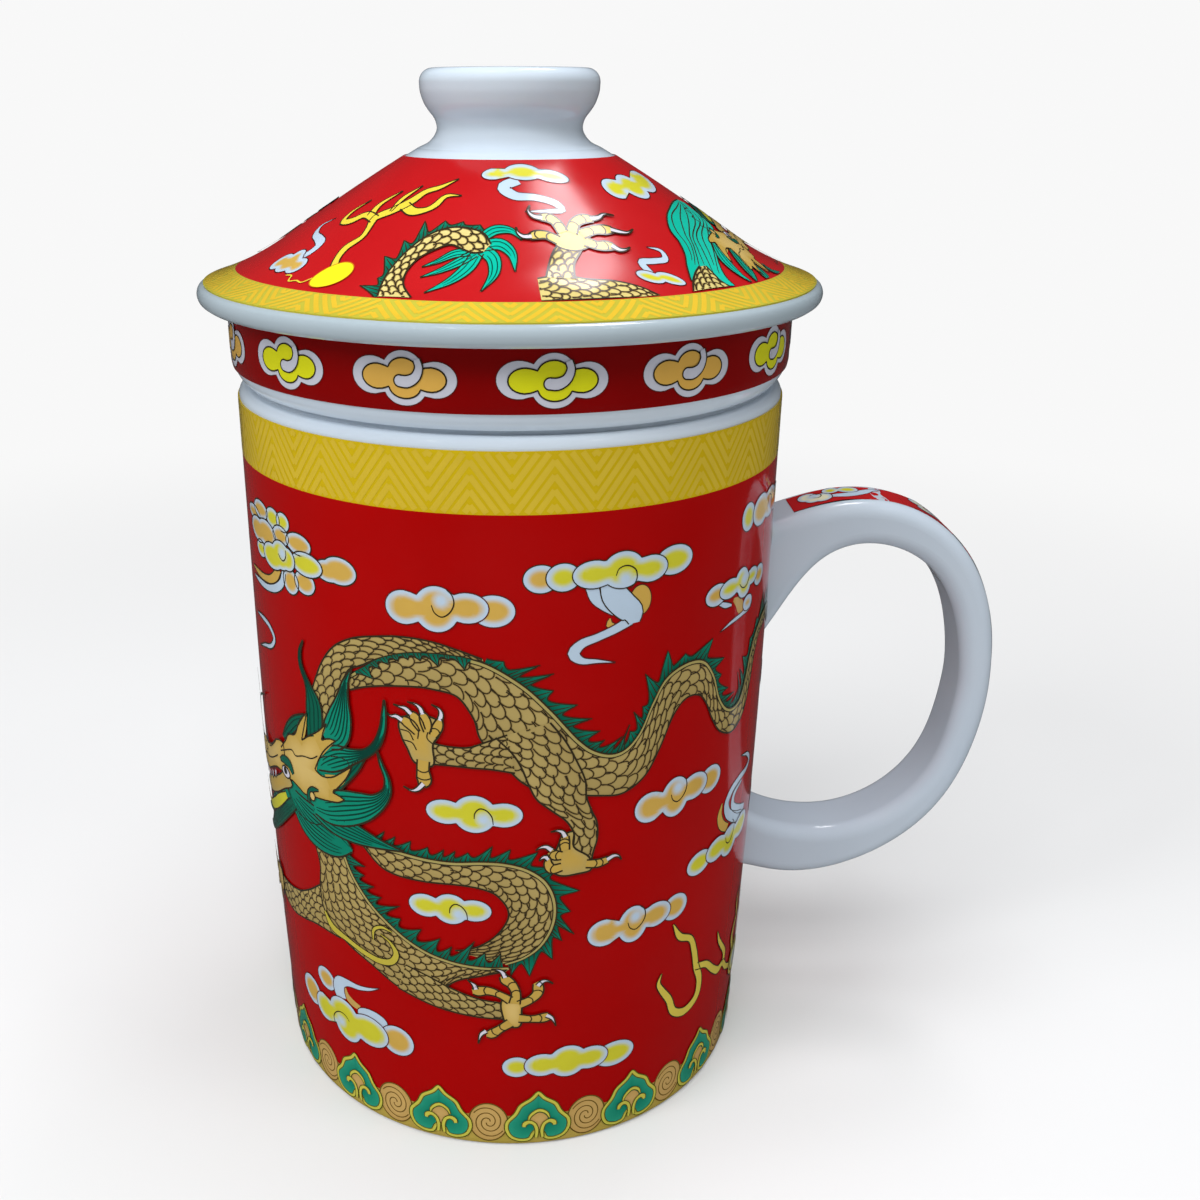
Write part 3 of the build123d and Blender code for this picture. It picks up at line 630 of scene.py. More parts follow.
def laid(name, painting, chart, body, copies=1, turn=0.0):
    """A painting laid on the ware: each point goes to its place on the chart's surface, lifted
    by its layer, and the whole is turned by an angle and repeated evenly round the axis."""
    points, normals = chart(np.vstack(painting.spots), np.concatenate(painting.lifts))
    faces, slots = np.vstack(painting.faces), np.concatenate(painting.slots)
    tints = np.tile(np.vstack(painting.tints), (copies, 1))
    spins = []
    for i in range(copies):
        a = turn + 2 * math.pi * i / copies
        spins.append(np.array([[math.cos(a), -math.sin(a), 0], [math.sin(a), math.cos(a), 0],
                               [0, 0, 1]]).T)
    piece = finish_mesh(name, np.vstack([points @ spin for spin in spins]),
                        np.vstack([faces + i * len(points) for i in range(copies)]), body,
                        ("tinted", *LINES), slots=np.tile(slots, copies),
                        normals=np.vstack([normals @ spin for spin in spins]))
    tint = piece.data.color_attributes.new("tint", "FLOAT_COLOR", "POINT")
    rgba = np.column_stack([tints, np.ones(len(tints))])
    tint.data.foreach_set("color", rgba.astype(np.float32).ravel())
    return piece


# ---------------------------------------------------------------- the ware

def mug():
    """The cup from the pole under its foot up the outside, over the lip and down the bore."""
    outside = np.concatenate([np.linspace(FOOT_Z, TAPER_Z, 30), [LIP_Z - LIP_OUT]])
    low_bore = float(wall_radius(FLOOR_Z + CORNER)) - WALL
    edge = FOOT_Z * (1 - np.cos(np.linspace(0, math.pi / 2, 9)))
    foot = [(0, RECESS_Z), (15, RECESS_Z), (RECESS_R, RECESS_Z), (FOOT_RING_IN, 0),
            (FOOT_RING_R, 0)]
    profile = np.vstack([
        foot, np.column_stack([wall_radius(edge), edge]),
        np.column_stack([wall_radius(outside), outside]),
        corner((MUG_R - LIP_OUT, LIP_Z - LIP_OUT), LIP_OUT, 0, 90),
        corner((BORE_R + LIP_IN, LIP_Z - LIP_IN), LIP_IN, 90, 180),
        [(BORE_R, TAPER_Z), (low_bore, FLOOR_Z + CORNER)],
        corner((low_bore - CORNER, FLOOR_Z + CORNER), CORNER, 0, -90),
        [(12, FLOOR_Z), (0, FLOOR_Z)]])
    bare = np.zeros(len(profile) - 1, int)
    bare[2:4] = 1
    turned("mug_ware", profile, "mug", ("porcelain", "unglazed"), "mug_body", bare)


def lid():
    """The lid's shell and its knob, each from pole to pole."""
    top = np.vstack([(0, DOME_FOOT[1]), DOME_FOOT, arc(DOME_FOOT, SHOULDER, DOME_BOW, 24),
                     arc(SHOULDER, BRIM, FLARE_BOW, 20)])
    edge = smooth([BRIM, (43.3, 122.6), (BRIM_R, 121.75), (43.35, 120.85), (BRIM[0], BRIM_LOW_Z)],
                  0.2)
    skirt = SKIRT_LOW + SKIRT_EDGE
    shell = np.vstack([top, edge, (BRIM[0], BRIM_LOW_Z), (SEAT_R, COLLAR_Z), (SKIRT_R, COLLAR_Z),
                       (SKIRT_R, skirt), (SKIRT_R - SKIRT_EDGE, SKIRT_LOW),
                       (SKIRT_IN + SKIRT_EDGE, SKIRT_LOW), (SKIRT_IN, skirt),
                       arc(HOLLOW_TOP, HOLLOW_LOW, HOLLOW_BOW, 24)[::-1], HOLLOW_TOP,
                       (0, HOLLOW_TOP[1])])
    # the brim's rolled edge takes the brim glaze: white porcelain painted darker, as painted shade
    shaded_brim = np.zeros(len(shell) - 1, int)
    shaded_brim[len(top):len(top) + len(edge) + 1] = 1
    turned("lid_ware", shell[::-1], "lid", ("porcelain", "brim"), "lid_shell",
           shaded_brim[::-1])
    rim_r, rim_z = KNOB_R - KNOB_EDGE, KNOB_TOP - KNOB_EDGE
    foot_z = DOME_FOOT[1] - 0.2
    knob = np.vstack([[(0, foot_z), (DOME_FOOT[0], foot_z)], smooth(KNOB_NECK, 0.3),
                      smooth([KNOB_CREASE, (12.17, 147.3), (KNOB_R, rim_z)], 0.3),
                      corner((rim_r, rim_z), KNOB_EDGE, 0, 90, 12),
                      smooth([(rim_r, KNOB_TOP), (7.2, 149.75), (3.6, 149.25), (0, 149.1)], 0.6)])
    turned("knob_ware", knob, "lid", ("porcelain",), "lid_knob")


def sleeve(name, low, high, radius, ware, body, replaces, step=1.5):
    """A printed band round the ware: its outside over the glaze and its two fine edges."""
    z = np.linspace(low, high, max(2, int((high - low) / step)) + 1)
    r = radius(z)
    profile = np.vstack([[r[0] - TUCK, low], np.column_stack([r + TRANSFER, z]),
                         [r[-1] - TUCK, high]])
    turned(name, profile, body, (ware,), replaces)


def lid_ground(name, inner, outer, ware, replaces):
    """A printed ring on the lid's top, lifted over the glaze, with two fine edges."""
    r = np.linspace(inner, outer, max(4, int(outer - inner)) + 1)
    z = lid_height(r)
    profile = np.vstack([[r[0], z[0] - TUCK], np.column_stack([r, z + TRANSFER]),
                         [r[-1], z[-1] - TUCK]])
    turned(name, profile[::-1], "lid", (ware,), replaces)


mug()
sleeve("mug_red_ground", GOLD_TOP - 0.2, RIM_LOW, wall_radius, "red", "mug",
       "mug_wrap")
sleeve("mug_foot_ground", GOLD_LOW, GOLD_TOP, wall_radius, "foot_gold", "mug",
       "mug_foot_border", 0.4)
sleeve("mug_rim_ground", RIM_LOW, RIM_TOP, wall_radius, "yellow", "mug",
       "mug_rim_band")
sleeve("infuser_ground", BAND_LOW, BAND_TOP, collar_radius, "collar_red", "infuser",
       "infuser_band", 0.25)
lid()
lid_ground("lid_red_ground", RED_IN, RED_OUT, "lid_red", "lid_wrap")
lid_ground("lid_yellow_ground", RED_OUT, BRIM[0], "lid_yellow", "lid_rim_band")
# the handle's glaze is the white porcelain painted darker, as painted shade
for name, ware in (("mug_handle", "handle"), ("infuser", "porcelain")):
    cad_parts[name].material_slots[0].material = MATERIAL[ware]


# ---------------------------------------------------------------- the painted mug

def dragon_body(p):
    """The mug's dragon: its body in two loops, back to belly, with fins along its back."""
    far_side = [(-30.4, 66, -25.4, 65), (-30.2, 70, -25, 69.5), (-28.9, 73.2, -23.8, 73.4),
                (-27.2, 76.4, -22.6, 76.2), (-24.8, 79.2, -20.2, 77.6), (-21.6, 81.1, -17.5, 79.1),
                (-18, 82.1, -15, 80), (-14, 82.7, -12, 80.6), (-10, 82.5, -9, 80.8),
                (-6.5, 81.6, -6, 80.6), (-3.6, 80.6, -3.4, 80.2)]
    p.scaled(far_side, 1.7, 3)
    near = [(-22.5, 75.6, -22.4, 73.5), (-20, 77.3, -20, 74.5), (-17.6, 79, -17, 75.3),
            (-14, 80.4, -13, 75.9), (-10, 80.9, -10, 75.9), (-6, 80.7, -6.8, 75.1),
            (-3, 79.9, -4.9, 72.4), (1.5, 77, -3.9, 69.2), (5, 73.4, -1.2, 66),
            (9, 68.5, 2.6, 62.2), (11, 66.8, 7, 60.9), (13.5, 65.9, 12, 59.9),
            (15.5, 66.3, 15, 59.6), (17.5, 68.3, 18.2, 61.2), (19.5, 72.5, 20.7, 65),
            (21.5, 75.5, 22.8, 69.4), (25, 76.7, 25, 71.4), (28, 76.1, 27.4, 71.2),
            (30.3, 73.4, 29.1, 69.4), (32, 69.4, 30.9, 66.1), (34, 67, 33, 63.6),
            (36, 66.2, 36.2, 62.3), (38, 66.7, 39.2, 63.5), (39.6, 69.3, 41.3, 67),
            (40.7, 72.5, 42.6, 71.3), (42.6, 75.2, 44.2, 74), (46, 77, 46.8, 75.1),
            (50, 77.2, 50.1, 75.3), (53.5, 75.6, 52.8, 74.2), (55.8, 72.6, 54.8, 72.1)]
    back, belly = p.scaled(near, 1.85, 4, stripe=True)
    p.fins(back[:int(len(back) * 0.185)][4:], -1, 6, pitch=1.9, height=1.3, lean=0.5)
    p.fins(back[int(len(back) * 0.2):], 1, 2, pitch=2.5, height=2.5)
    # second loop: out from under the mane, round to the right and back beneath
    loop = [(-22.3, 50.6, -21.6, 49.6), (-20, 50.7, -19.3, 47.5), (-16, 50.5, -16.5, 46.5),
            (-12, 50.2, -12, 46.4), (-8, 50.2, -8, 46.6), (-4, 50.6, -4.8, 46.4),
            (-1, 50.5, -2.6, 45.7), (2, 49.6, -1.4, 44.6), (4.4, 47.8, -0.6, 43.3),
            (5.7, 45.5, -0.4, 42.0), (6.2, 43, -0.8, 40.7), (6, 40.5, -1.7, 39.2),
            (5.2, 38.3, -3, 37.8), (3.9, 36.4, -4.6, 36.7), (2, 34.9, -6.2, 36),
            (-0.6, 33.8, -8, 35.6)]
    outer, inner = p.scaled(loop, 1.5, 4, stripe=True)
    p.fins(outer[6:], 1, 2)
    chest = [(-25.2, 47.2, -31.8, 46.5), (-24.2, 44.8, -30.8, 43), (-22.8, 42.6, -31.2, 39),
             (-20.5, 40, -30.6, 35), (-18, 38, -26.5, 31.7), (-15, 36, -21.2, 29.4),
             (-12, 34.6, -17, 27.2), (-9, 33.8, -12.6, 26.4), (-6.5, 33.4, -8.2, 30.2),
             (-3.5, 33.2, -4.5, 31.6), (-0.2, 33.3, -1, 32.6)]
    upper_arm = [(-31, 39.4, -27.5, 31.6), (-34.2, 36.9, -33, 31.3), (-37.4, 35, -37, 30.2),
                 (-41, 33.8, -41, 29.2), (-44, 33.2, -44.5, 29.4), (-46.5, 32.8, -47.5, 30)]
    p.scaled(upper_arm, 1.6, 4)
    forearm = [(-15.5, 31.5, -17, 27), (-12, 30.4, -12, 25.5), (-9, 29.1, -9, 24.9),
               (-5, 27.7, -5, 24.4), (-1, 27, -1, 24.2)]
    back, belly = p.scaled(chest, 1.55, 5, stripe=True)
    p.fins(back[:int(len(back) * 0.97)], 1, 5.6, height=3.1, lean=0.5)
    p.scaled(forearm, 1.4, 6)
    p.ribbon([(-30.5, 35, 0.5), (-29, 33, 1.3), (-26, 32.2, 1.0), (-22.5, 31.2, 1.0),
              (-19.8, 30.8, 1.1), (-17.8, 31.4, 1.1), (-17, 33, 1.0), (-18, 34.8, 0.5),
              (-19.5, 35.6, 0.3)], "olive", 8, rim=0.16)
    p.ribbon([(-20.8, 34.2, 0.3), (-20.6, 36, 0.6), (-19.2, 36.9, 0.6), (-17.5, 36.6, 0.3)],
             "olive", 8, rim=0.16)


def claws(p):
    """Four feet: scaled limbs, plain palms and hooked white claws."""
    arm = [(-0.5, 70, 0.5, 64.4), (-3, 69, -2.5, 64.9), (-5.5, 68, -5, 65), (-8, 67.9, -8, 65.1),
           (-10.8, 68.2, -10.8, 65)]
    p.scaled(arm, 1.35, 6)
    p.patch([(-12.8, 64.9), (-10.3, 64.8), (-10.2, 68), (-9.3, 69.5), (-9.2, 71.2), (-10.2, 71.9),
             (-12, 71.8), (-13.6, 71.7), (-14.9, 70.6), (-14.6, 68.5), (-13.8, 66.8)], 7, "gold",
            "gold_face", rim=0.28, step=0.5)
    for points in (
            [(-14.7, 69.5), (-13.5, 69.3), (-12.9, 68.2)],
            [(-14.3, 68), (-13.1, 67.8), (-12.5, 66.8)],
            [(-13, 70.5), (-12.2, 69.6), (-12.3, 68.5)], [(-10.2, 68), (-11, 68.8), (-10.8, 69.9)]):
        p.draw(points, 0.18, 7.5, 0.3)
    p.finger([(-12.3, 69.4, 1.0), (-13.2, 70.4, 1.5), (-14.2, 70.9, 1.2), (-14.8, 70.9, 0.5)],
             [(-14.4, 70.9), (-15.3, 71.3), (-16, 71.2), (-16.9, 71.7)], 7, knuckles=0)
    p.finger([(-11.6, 69.8, 1.0), (-12.3, 71, 1.5), (-12.9, 71.9, 1.2), (-13.3, 72.2, 0.5)],
             [(-13.1, 72), (-13.9, 72.7), (-14.6, 72.8), (-15.6, 73)], 7.2, knuckles=0)
    p.finger([(-10.9, 69.7, 1.0), (-11.1, 71, 1.5), (-11.4, 72, 1.2), (-11.6, 72.5, 0.5)],
             [(-11.5, 72.2), (-11.8, 73), (-12.4, 73.5), (-13.6, 73.7)], 7.4, knuckles=0)
    p.finger([(-10.2, 69.2, 1.0), (-9.6, 70.4, 1.4), (-9.3, 71.3, 1.1), (-9.2, 71.9, 0.5)],
             [(-9.2, 71.6), (-9, 72.6), (-9.3, 73.3), (-10.3, 73.8)], 7.6, knuckles=1)
    p.finger([(-11.6, 65.4, 1.7), (-11.7, 64, 1.7), (-11.6, 62.4, 2.0), (-11.9, 61.5, 1.0)],
             [(-11.7, 61.9), (-12.6, 60.9), (-13.4, 60.6), (-14.6, 61)], 7)
    # hind leg
    thigh = [(-2, 69.6, 5, 71.6), (0.2, 67.2, 7, 68.8), (1.4, 65, 8.6, 65.6),
             (2.2, 62.8, 9.8, 62.6), (3.3, 60.4, 10, 60.2), (5.2, 58.6, 10.8, 57.8),
             (7.4, 56.6, 11.6, 55.8), (8.4, 54.6, 11.7, 53.4), (8.3, 52.6, 11.2, 51.4),
             (8, 50.4, 10.9, 49.6)]
    p.scaled(thigh, 1.75, 5.5)
    p.patch([(5.2, 50.6), (6, 52.4), (7, 54.6), (8.3, 55), (8.4, 52.6), (10.6, 50.6), (11, 48.6),
             (9, 48.2), (6.6, 48.2), (5.3, 49.2)], 7, "gold", "gold_face", rim=0.28, step=0.5)
    p.finger([(6.8, 51.4, 1.2), (5.8, 51.6, 1.5), (5.2, 52.2, 1.1)],
             [(5.4, 52.4), (4.6, 53), (3.8, 52.9), (3.2, 52.5)], 7.4)
    p.finger([(7.2, 52.2, 1.2), (7.1, 53.6, 1.4), (7.2, 54.5, 1.0)],
             [(7.2, 54.3), (6.8, 55.1), (6.1, 55.4), (5.2, 55.3)], 7.6)
    p.finger([(6.8, 49.6, 1.2), (5.4, 49.4, 1.4), (4.9, 50.4, 1.1), (5, 51.1, 0.6)],
             [(5, 51), (4.5, 51.4), (4, 51.2), (3.7, 50.8)], 7.2, knuckles=1)
    p.finger([(10.2, 49.6, 1.2), (12, 49.4, 1.3), (13.4, 49.7, 1.1)],
             [(13.2, 49.7), (14.2, 50.1), (14.9, 49.9), (15.4, 49.2)], 7.2)
    # lower fore claw
    p.patch([(-1.4, 27.6), (0.4, 28.6), (1.7, 27.4), (1.4, 25.7), (1.5, 24), (1, 22.8), (-0.6, 23),
             (-1.2, 24.4)], 7, "gold_face", "gold_lit", rim=0.28, step=0.5)
    p.finger([(0.4, 27, 1.6), (0.6, 28.8, 1.3), (0, 30.4, 1.4), (-0.9, 31.3, 1.6),
              (-1.3, 31.9, 0.9)], [(-0.9, 31.6), (-1.3, 32.5), (-1.9, 32.9), (-2.9, 33)], 7.5)
    p.finger([(-0.2, 27.6, 1.4), (-1.7, 28.6, 1.1), (-3.4, 29.2, 1.4), (-5, 29, 1.6),
              (-5.6, 28.9, 0.9)], [(-5.1, 29.3), (-5.3, 30), (-5.7, 30.4), (-6.3, 30.9)], 7.2)
    p.finger([(1, 26.8, 1.4), (2.6, 27.6, 1.3), (3.7, 28.8, 1.5), (3.7, 30, 1.5), (3.4, 30.6, 0.9)],
             [(3.7, 30), (4.3, 30.7), (5, 30.8), (5.9, 30.2)], 7.2)
    p.finger([(1, 24.4, 1.4), (3, 24.2, 1.2), (4.6, 24.3, 1.6), (5.4, 24.5, 1.4)],
             [(5, 24.7), (5.7, 24.2), (6.1, 23.5), (6.4, 22.6)], 7.2)
    p.finger([(-0.2, 23.6, 1.5), (-1.8, 22.4, 1.3), (-3, 21.5, 1.6), (-3.7, 21.4, 1.0)],
             [(-3.7, 22), (-4.4, 21.4), (-4.7, 20.6), (-4.9, 19.6)], 7.2)
    # far fore claw, reaching left
    p.patch([(-46, 33.4), (-48.6, 33.9), (-50.2, 32.6), (-50.2, 30.6), (-48.4, 29.6), (-46, 30)], 7,
            "gold_face", "gold_lit", rim=0.28, step=0.5)
    for points, claw in (
            ([(-49, 32.8, 1.5), (-50.2, 34.2, 1.4), (-51, 35.2, 1.0)],
             [(-50.8, 35), (-51.6, 35.6), (-52.2, 35.4), (-52.8, 34.8)]),
            ([(-49.6, 31.8, 1.5), (-51.6, 32, 1.5), (-52.8, 32.3, 1.0)],
             [(-52.5, 32.3), (-53.4, 32.2), (-54, 31.6), (-54.3, 30.9)]),
            ([(-49, 30.6, 1.5), (-50.6, 29.2, 1.4), (-51.4, 28.4, 1.0)],
             [(-51.2, 28.6), (-51.9, 27.8), (-52, 27), (-51.7, 26.2)]),
            ([(-47.6, 30.2, 1.4), (-47.6, 28.4, 1.4), (-47.4, 27.4, 1.0)],
             [(-47.4, 27.6), (-47.3, 26.6), (-46.8, 26), (-46, 25.6)])):
        p.finger(points, claw, 7.2)


def mane(p):
    """Locks of hair that stream back from the dragon's head."""
    p.plume([(-38.6, 60.6, 0.6), (-36.6, 62.6, 1.8), (-34.4, 64.6, 2.0), (-31.6, 66.2, 1.6)],
            "green_deep", 2, 5.6)
    p.plume([(-30, 62.5, 3.0), (-29.7, 66, 3.4), (-29.6, 69.4, 3.1), (-30.6, 72, 1.2),
             (-31.9, 74.4, 0.7), (-31.9, 76.4, 0.5), (-31, 78.3, 0.1)], "green_deep", 3, 6)
    p.plume([(-36.6, 51.5, 3.4), (-32.6, 49.6, 6.5), (-28.6, 48.8, 6.5), (-25.4, 48.4, 3.9),
             (-23.6, 48.2, 0.5)], "green", 8, 7)
    p.plume([(-31, 52.6, 3), (-27, 51.6, 3.6), (-23, 51.3, 3.3), (-20, 51, 2.1), (-17.5, 50.8, 1.0),
             (-15, 50.7, 0.1)], "green", 5, 8)
    p.plume([(-31, 52.8, 2.6), (-28, 53.4, 4.6), (-24.5, 54.8, 5.4), (-21, 56.2, 4.2),
             (-18.6, 57.6, 2.4), (-17.1, 59.6, 1.3), (-17, 61.5, 0.8), (-17.8, 63.6, 0.5),
             (-18.3, 65.4, 0.1)], "green_light", 6, 8.6)
    p.plume([(-25.4, 57.6, 0.8), (-23.6, 60, 1.2), (-22, 62, 1.2), (-20.4, 64, 0.4)], "green_deep",
            1, 8.8)
    p.patch([(-38.3, 51.6), (-37.4, 53.8), (-34.4, 55), (-30, 55), (-28, 53), (-30, 50),
             (-35, 49.5)], 6.9, "green", rim=0.2, step=0.6)
    p.patch([(-30.4, 58.2), (-29.6, 60.6), (-25.4, 62.6), (-23.2, 62.4), (-23.8, 60.4),
             (-26.4, 58.3)], 8.7, "green", rim=0.2, step=0.6)
    p.plume([(-29.4, 59.4, 0.6), (-27.6, 61, 3.0), (-25, 62.6, 3.6), (-22.4, 63.6, 2.2),
             (-20, 64.8, 1.2), (-18.4, 66.4, 1.1), (-17.4, 68.8, 0.9), (-17, 71.4, 0.6),
             (-16.9, 73.4, 0.1)], "green_light", 5, 9.2)
    p.plume([(-27.2, 64.6, 3.0), (-25.4, 66.2, 4.6), (-24.3, 69, 4.0), (-23.6, 72, 2.0),
             (-23, 74.4, 1.0), (-21.8, 76.8, 0.1)], "green_light", 6, 9.6)


def face(p):
    """The dragon's head in profile, facing left, with horns, beard and tongue."""
    # jaw, beard and tongue
    p.plume([(-37, 51, 3), (-41, 47.6, 3.4), (-45, 44, 3), (-49, 40.6, 1.4), (-52, 39.4, 0.1)],
            "green_deep", 6, 8)
    p.plume([(-38.5, 52, 2.6), (-43, 48.8, 2.4), (-47, 45, 1.8), (-51.5, 43, 0.1)], "green", 4, 8.5)
    p.ribbon([(-39, 50.8, 1.2), (-42, 48.6, 1.9), (-45, 46.4, 1.8), (-48, 45, 1.4),
              (-50.4, 46, 0.7), (-51.6, 48, 0.1)], "yellow", 9.4)
    jaw = [(-36.6, 53.6), (-39.6, 51.6), (-43, 49.4), (-46.6, 48), (-48.4, 48.8), (-47.4, 50.2),
           (-44, 51.6), (-41, 53.4), (-38.6, 55)]
    p.patch(jaw, 9.6, "gold", "gold_face", rim=0.26, step=0.6)
    # the face
    face = [(-39.4, 58.6), (-37.5, 60.6), (-36.4, 62), (-34.5, 62.7), (-32.8, 62.5), (-30.8, 63.8),
            (-28.6, 64.4), (-27.7, 62.8), (-29, 60.8), (-29.6, 58.6), (-27.5, 58.6), (-25.8, 58.6),
            (-26.6, 56.6), (-26.6, 55.3), (-28.6, 54.8), (-31.4, 54.2), (-33, 53.8), (-34.4, 54.2),
            (-36.4, 54.6), (-39, 54.4), (-41, 55.6)]
    p.patch(face, 10.4, "gold_face", "gold_lit", centre=(-33.4, 58.4), rings=6, step=0.6)
    for points in (
            [(-33.7, 62.2, 2.2), (-32.2, 64.8, 1.5), (-31, 67.5, 0.1)],
            [(-29.2, 64, 1.6), (-28, 65.6, 0.9), (-26.9, 67.2, 0.1)],
            [(-28.8, 62.9, 2.4), (-27.2, 64, 1.5), (-25.3, 65.1, 0.1)],
            [(-27.4, 57.9, 2.4), (-25.2, 59, 1.7), (-23.8, 60.4, 0.9), (-22.6, 62, 0.1)],
            [(-27.4, 56, 1.8), (-26, 55.9, 1.1), (-24.3, 56.2, 0.1)]):
        p.ribbon(points, "gold_face", 10.6, rim=0, step=0.4)
    for points in (
            [(-39.4, 58.6), (-37.5, 60.6), (-36.4, 62), (-34.5, 62.8), (-33, 65.4), (-31, 67.5)],
            [(-31, 67.5), (-31.6, 65.8), (-32.7, 62.6)],
            [(-32.7, 62.6), (-30.8, 64), (-28.9, 65.3), (-26.9, 67.2)],
            [(-26.9, 67.2), (-27.6, 65.8), (-28.1, 64.3)],
            [(-28.1, 64.3), (-26.6, 65), (-25.3, 65.1)],
            [(-25.3, 65.1), (-27.6, 62.9), (-29, 60.9), (-30, 59)],
            [(-30, 59), (-28.6, 58.5), (-26.6, 59), (-24.6, 60.4), (-22.6, 62)],
            [(-22.6, 62), (-23.6, 60), (-25.2, 58), (-26.5, 56.6)],
            [(-26.5, 56.6), (-25.4, 56.5), (-24.3, 56.2)],
            [(-24.3, 56.2), (-25.5, 55.4), (-28, 54.8), (-31.4, 54.2), (-33, 53.8), (-34.4, 54.2),
             (-36.4, 54.6)]):
        p.draw(points, 0.24, 11.2)
    snout = [(-38.6, 59.6), (-41, 59.2), (-43.4, 57.4), (-46, 56.4), (-48.6, 56.6), (-50.3, 55.2),
             (-50.6, 53), (-49, 51.6), (-46.6, 51.8), (-44.4, 53), (-42, 54.2), (-39, 55)]
    p.patch(snout, 10.6, "gold_face", "gold_lit", rim=0.26, step=0.6)
    p.draw([(-41, 56.6), (-43.6, 55), (-46, 54), (-48, 53.8), (-49.4, 52.9)], 0.22, 12)
    p.draw([(-48.2, 55.6), (-47, 55.9), (-46.6, 55), (-47.4, 54.5)], 0.24, 12, 0.3)
    p.draw([(-41.6, 58.6), (-43.6, 57), (-45, 56.3)], 0.18, 12)
    for x, y in ((-47.8, 51.4), (-46.1, 51.1), (-44.4, 51.9), (-42.8, 52.7)):
        p.ribbon([(x, y + 0.5, 0.8), (x - 0.15, y - 0.3, 0.5), (x - 0.3, y - 1.0, 0.05)],
                 "claw", 11, rim=0.16, step=0.3)
    # brow, eye, ear
    p.draw([(-39.6, 58), (-37.6, 59), (-35.6, 59.8), (-34.8, 59.3), (-32.6, 60.1), (-30.6, 60.5),
            (-29.2, 61.4)], 0.2, 12)
    p.ribbon([(-40, 56.4, 0.4), (-38.6, 57, 1.3), (-36.9, 57, 1.5), (-35.8, 55.8, 0.6)],
             "green_deep", 12, rim=0.2, step=0.4)
    p.patch(disc((-38.2, 55.1), (1.3, 0.9), 16), 12.3, "claw", rim=0.24)
    p.patch(disc((-38.3, 55.3), (0.55, 0.6), 16), 13, "black")
    p.ribbon([(-32, 53, 0.5), (-31.8, 54.5, 0.8), (-30.8, 55.5, 0.8), (-29.5, 55.8, 0.3)],
             "green_deep", 12, rim=0.2, step=0.4)
    p.patch(disc((-31, 54.3), (0.6, 0.7), 16), 12.6, "gold_lit", rim=0.2)
    for points in (
            [(-48.8, 56.6, 0.5), (-50.5, 59.4, 0.45), (-49.4, 62.6, 0.4), (-46, 64.4, 0.1)],
            [(-49.6, 55.6, 0.5), (-53, 57.6, 0.45), (-55.4, 61, 0.4), (-54.4, 65, 0.1)]):
        p.ribbon(points, "green_light", 11, rim=0.16)


def pearl_and_flames(p):
    """The flaming pearl that the dragon follows, left of its head and right of its tail."""
    for points in (
            [(25.4, 34.6, 0.3), (27, 31.8, 1.2), (29.5, 30.2, 1.1), (30.7, 27.4, 1.3),
             (31.6, 24, 1.4), (32.8, 21, 1.5), (32.4, 18, 1.6), (29.6, 16.8, 1.6),
             (26.9, 18.1, 1.4), (25.6, 21, 1.3), (24, 23.4, 1.1), (23.2, 25, 0.8),
             (23.7, 26.6, 0.2)],
            [(31.6, 24, 1.2), (34.5, 22.8, 1.2), (37, 20.4, 1.3), (39.3, 18.8, 1.4), (41, 19, 1.2),
             (43, 17, 1.1), (46.2, 15.2, 0.9)],
            [(37.6, 27, 0.2), (38.4, 25, 0.8), (39.6, 23.3, 1.0), (41.4, 20.8, 1.1),
             (41.4, 19, 1.0)],
            [(46.4, 18.4, 1.2), (45.4, 21.6, 1.2), (47.4, 24.4, 1.0), (46.6, 27.4, 0.7),
             (48, 29.6, 0.1)],
            [(50, 18.6, 1.2), (51.2, 22, 1.0), (50, 25, 0.7), (51.4, 27.4, 0.1)]):
        p.ribbon(points, "flame", 3, rim=0.18)
    p.patch(disc((48.4, 15.6), 3.3), 4, "flame", rim=0.24)
    p.patch(disc((48.4, 15.6), 2.5), 5, "pearl", "white", rim=0.2)


# strokes of a cloud's swirl about its middle: one that rolls over, and one that opens upward
CURL = ((-0.35, -0.5), (-0.25, 0.35), (0.4, 1.1), (1.25, 0.9), (2.0, -0.05), (2.2, -1.3))
CUP = ((-0.6, 0.5), (-0.2, -0.5), (0.7, -1), (1.7, -0.4), (2.3, 0.8), (2.1, 2), (1.4, 2.7))


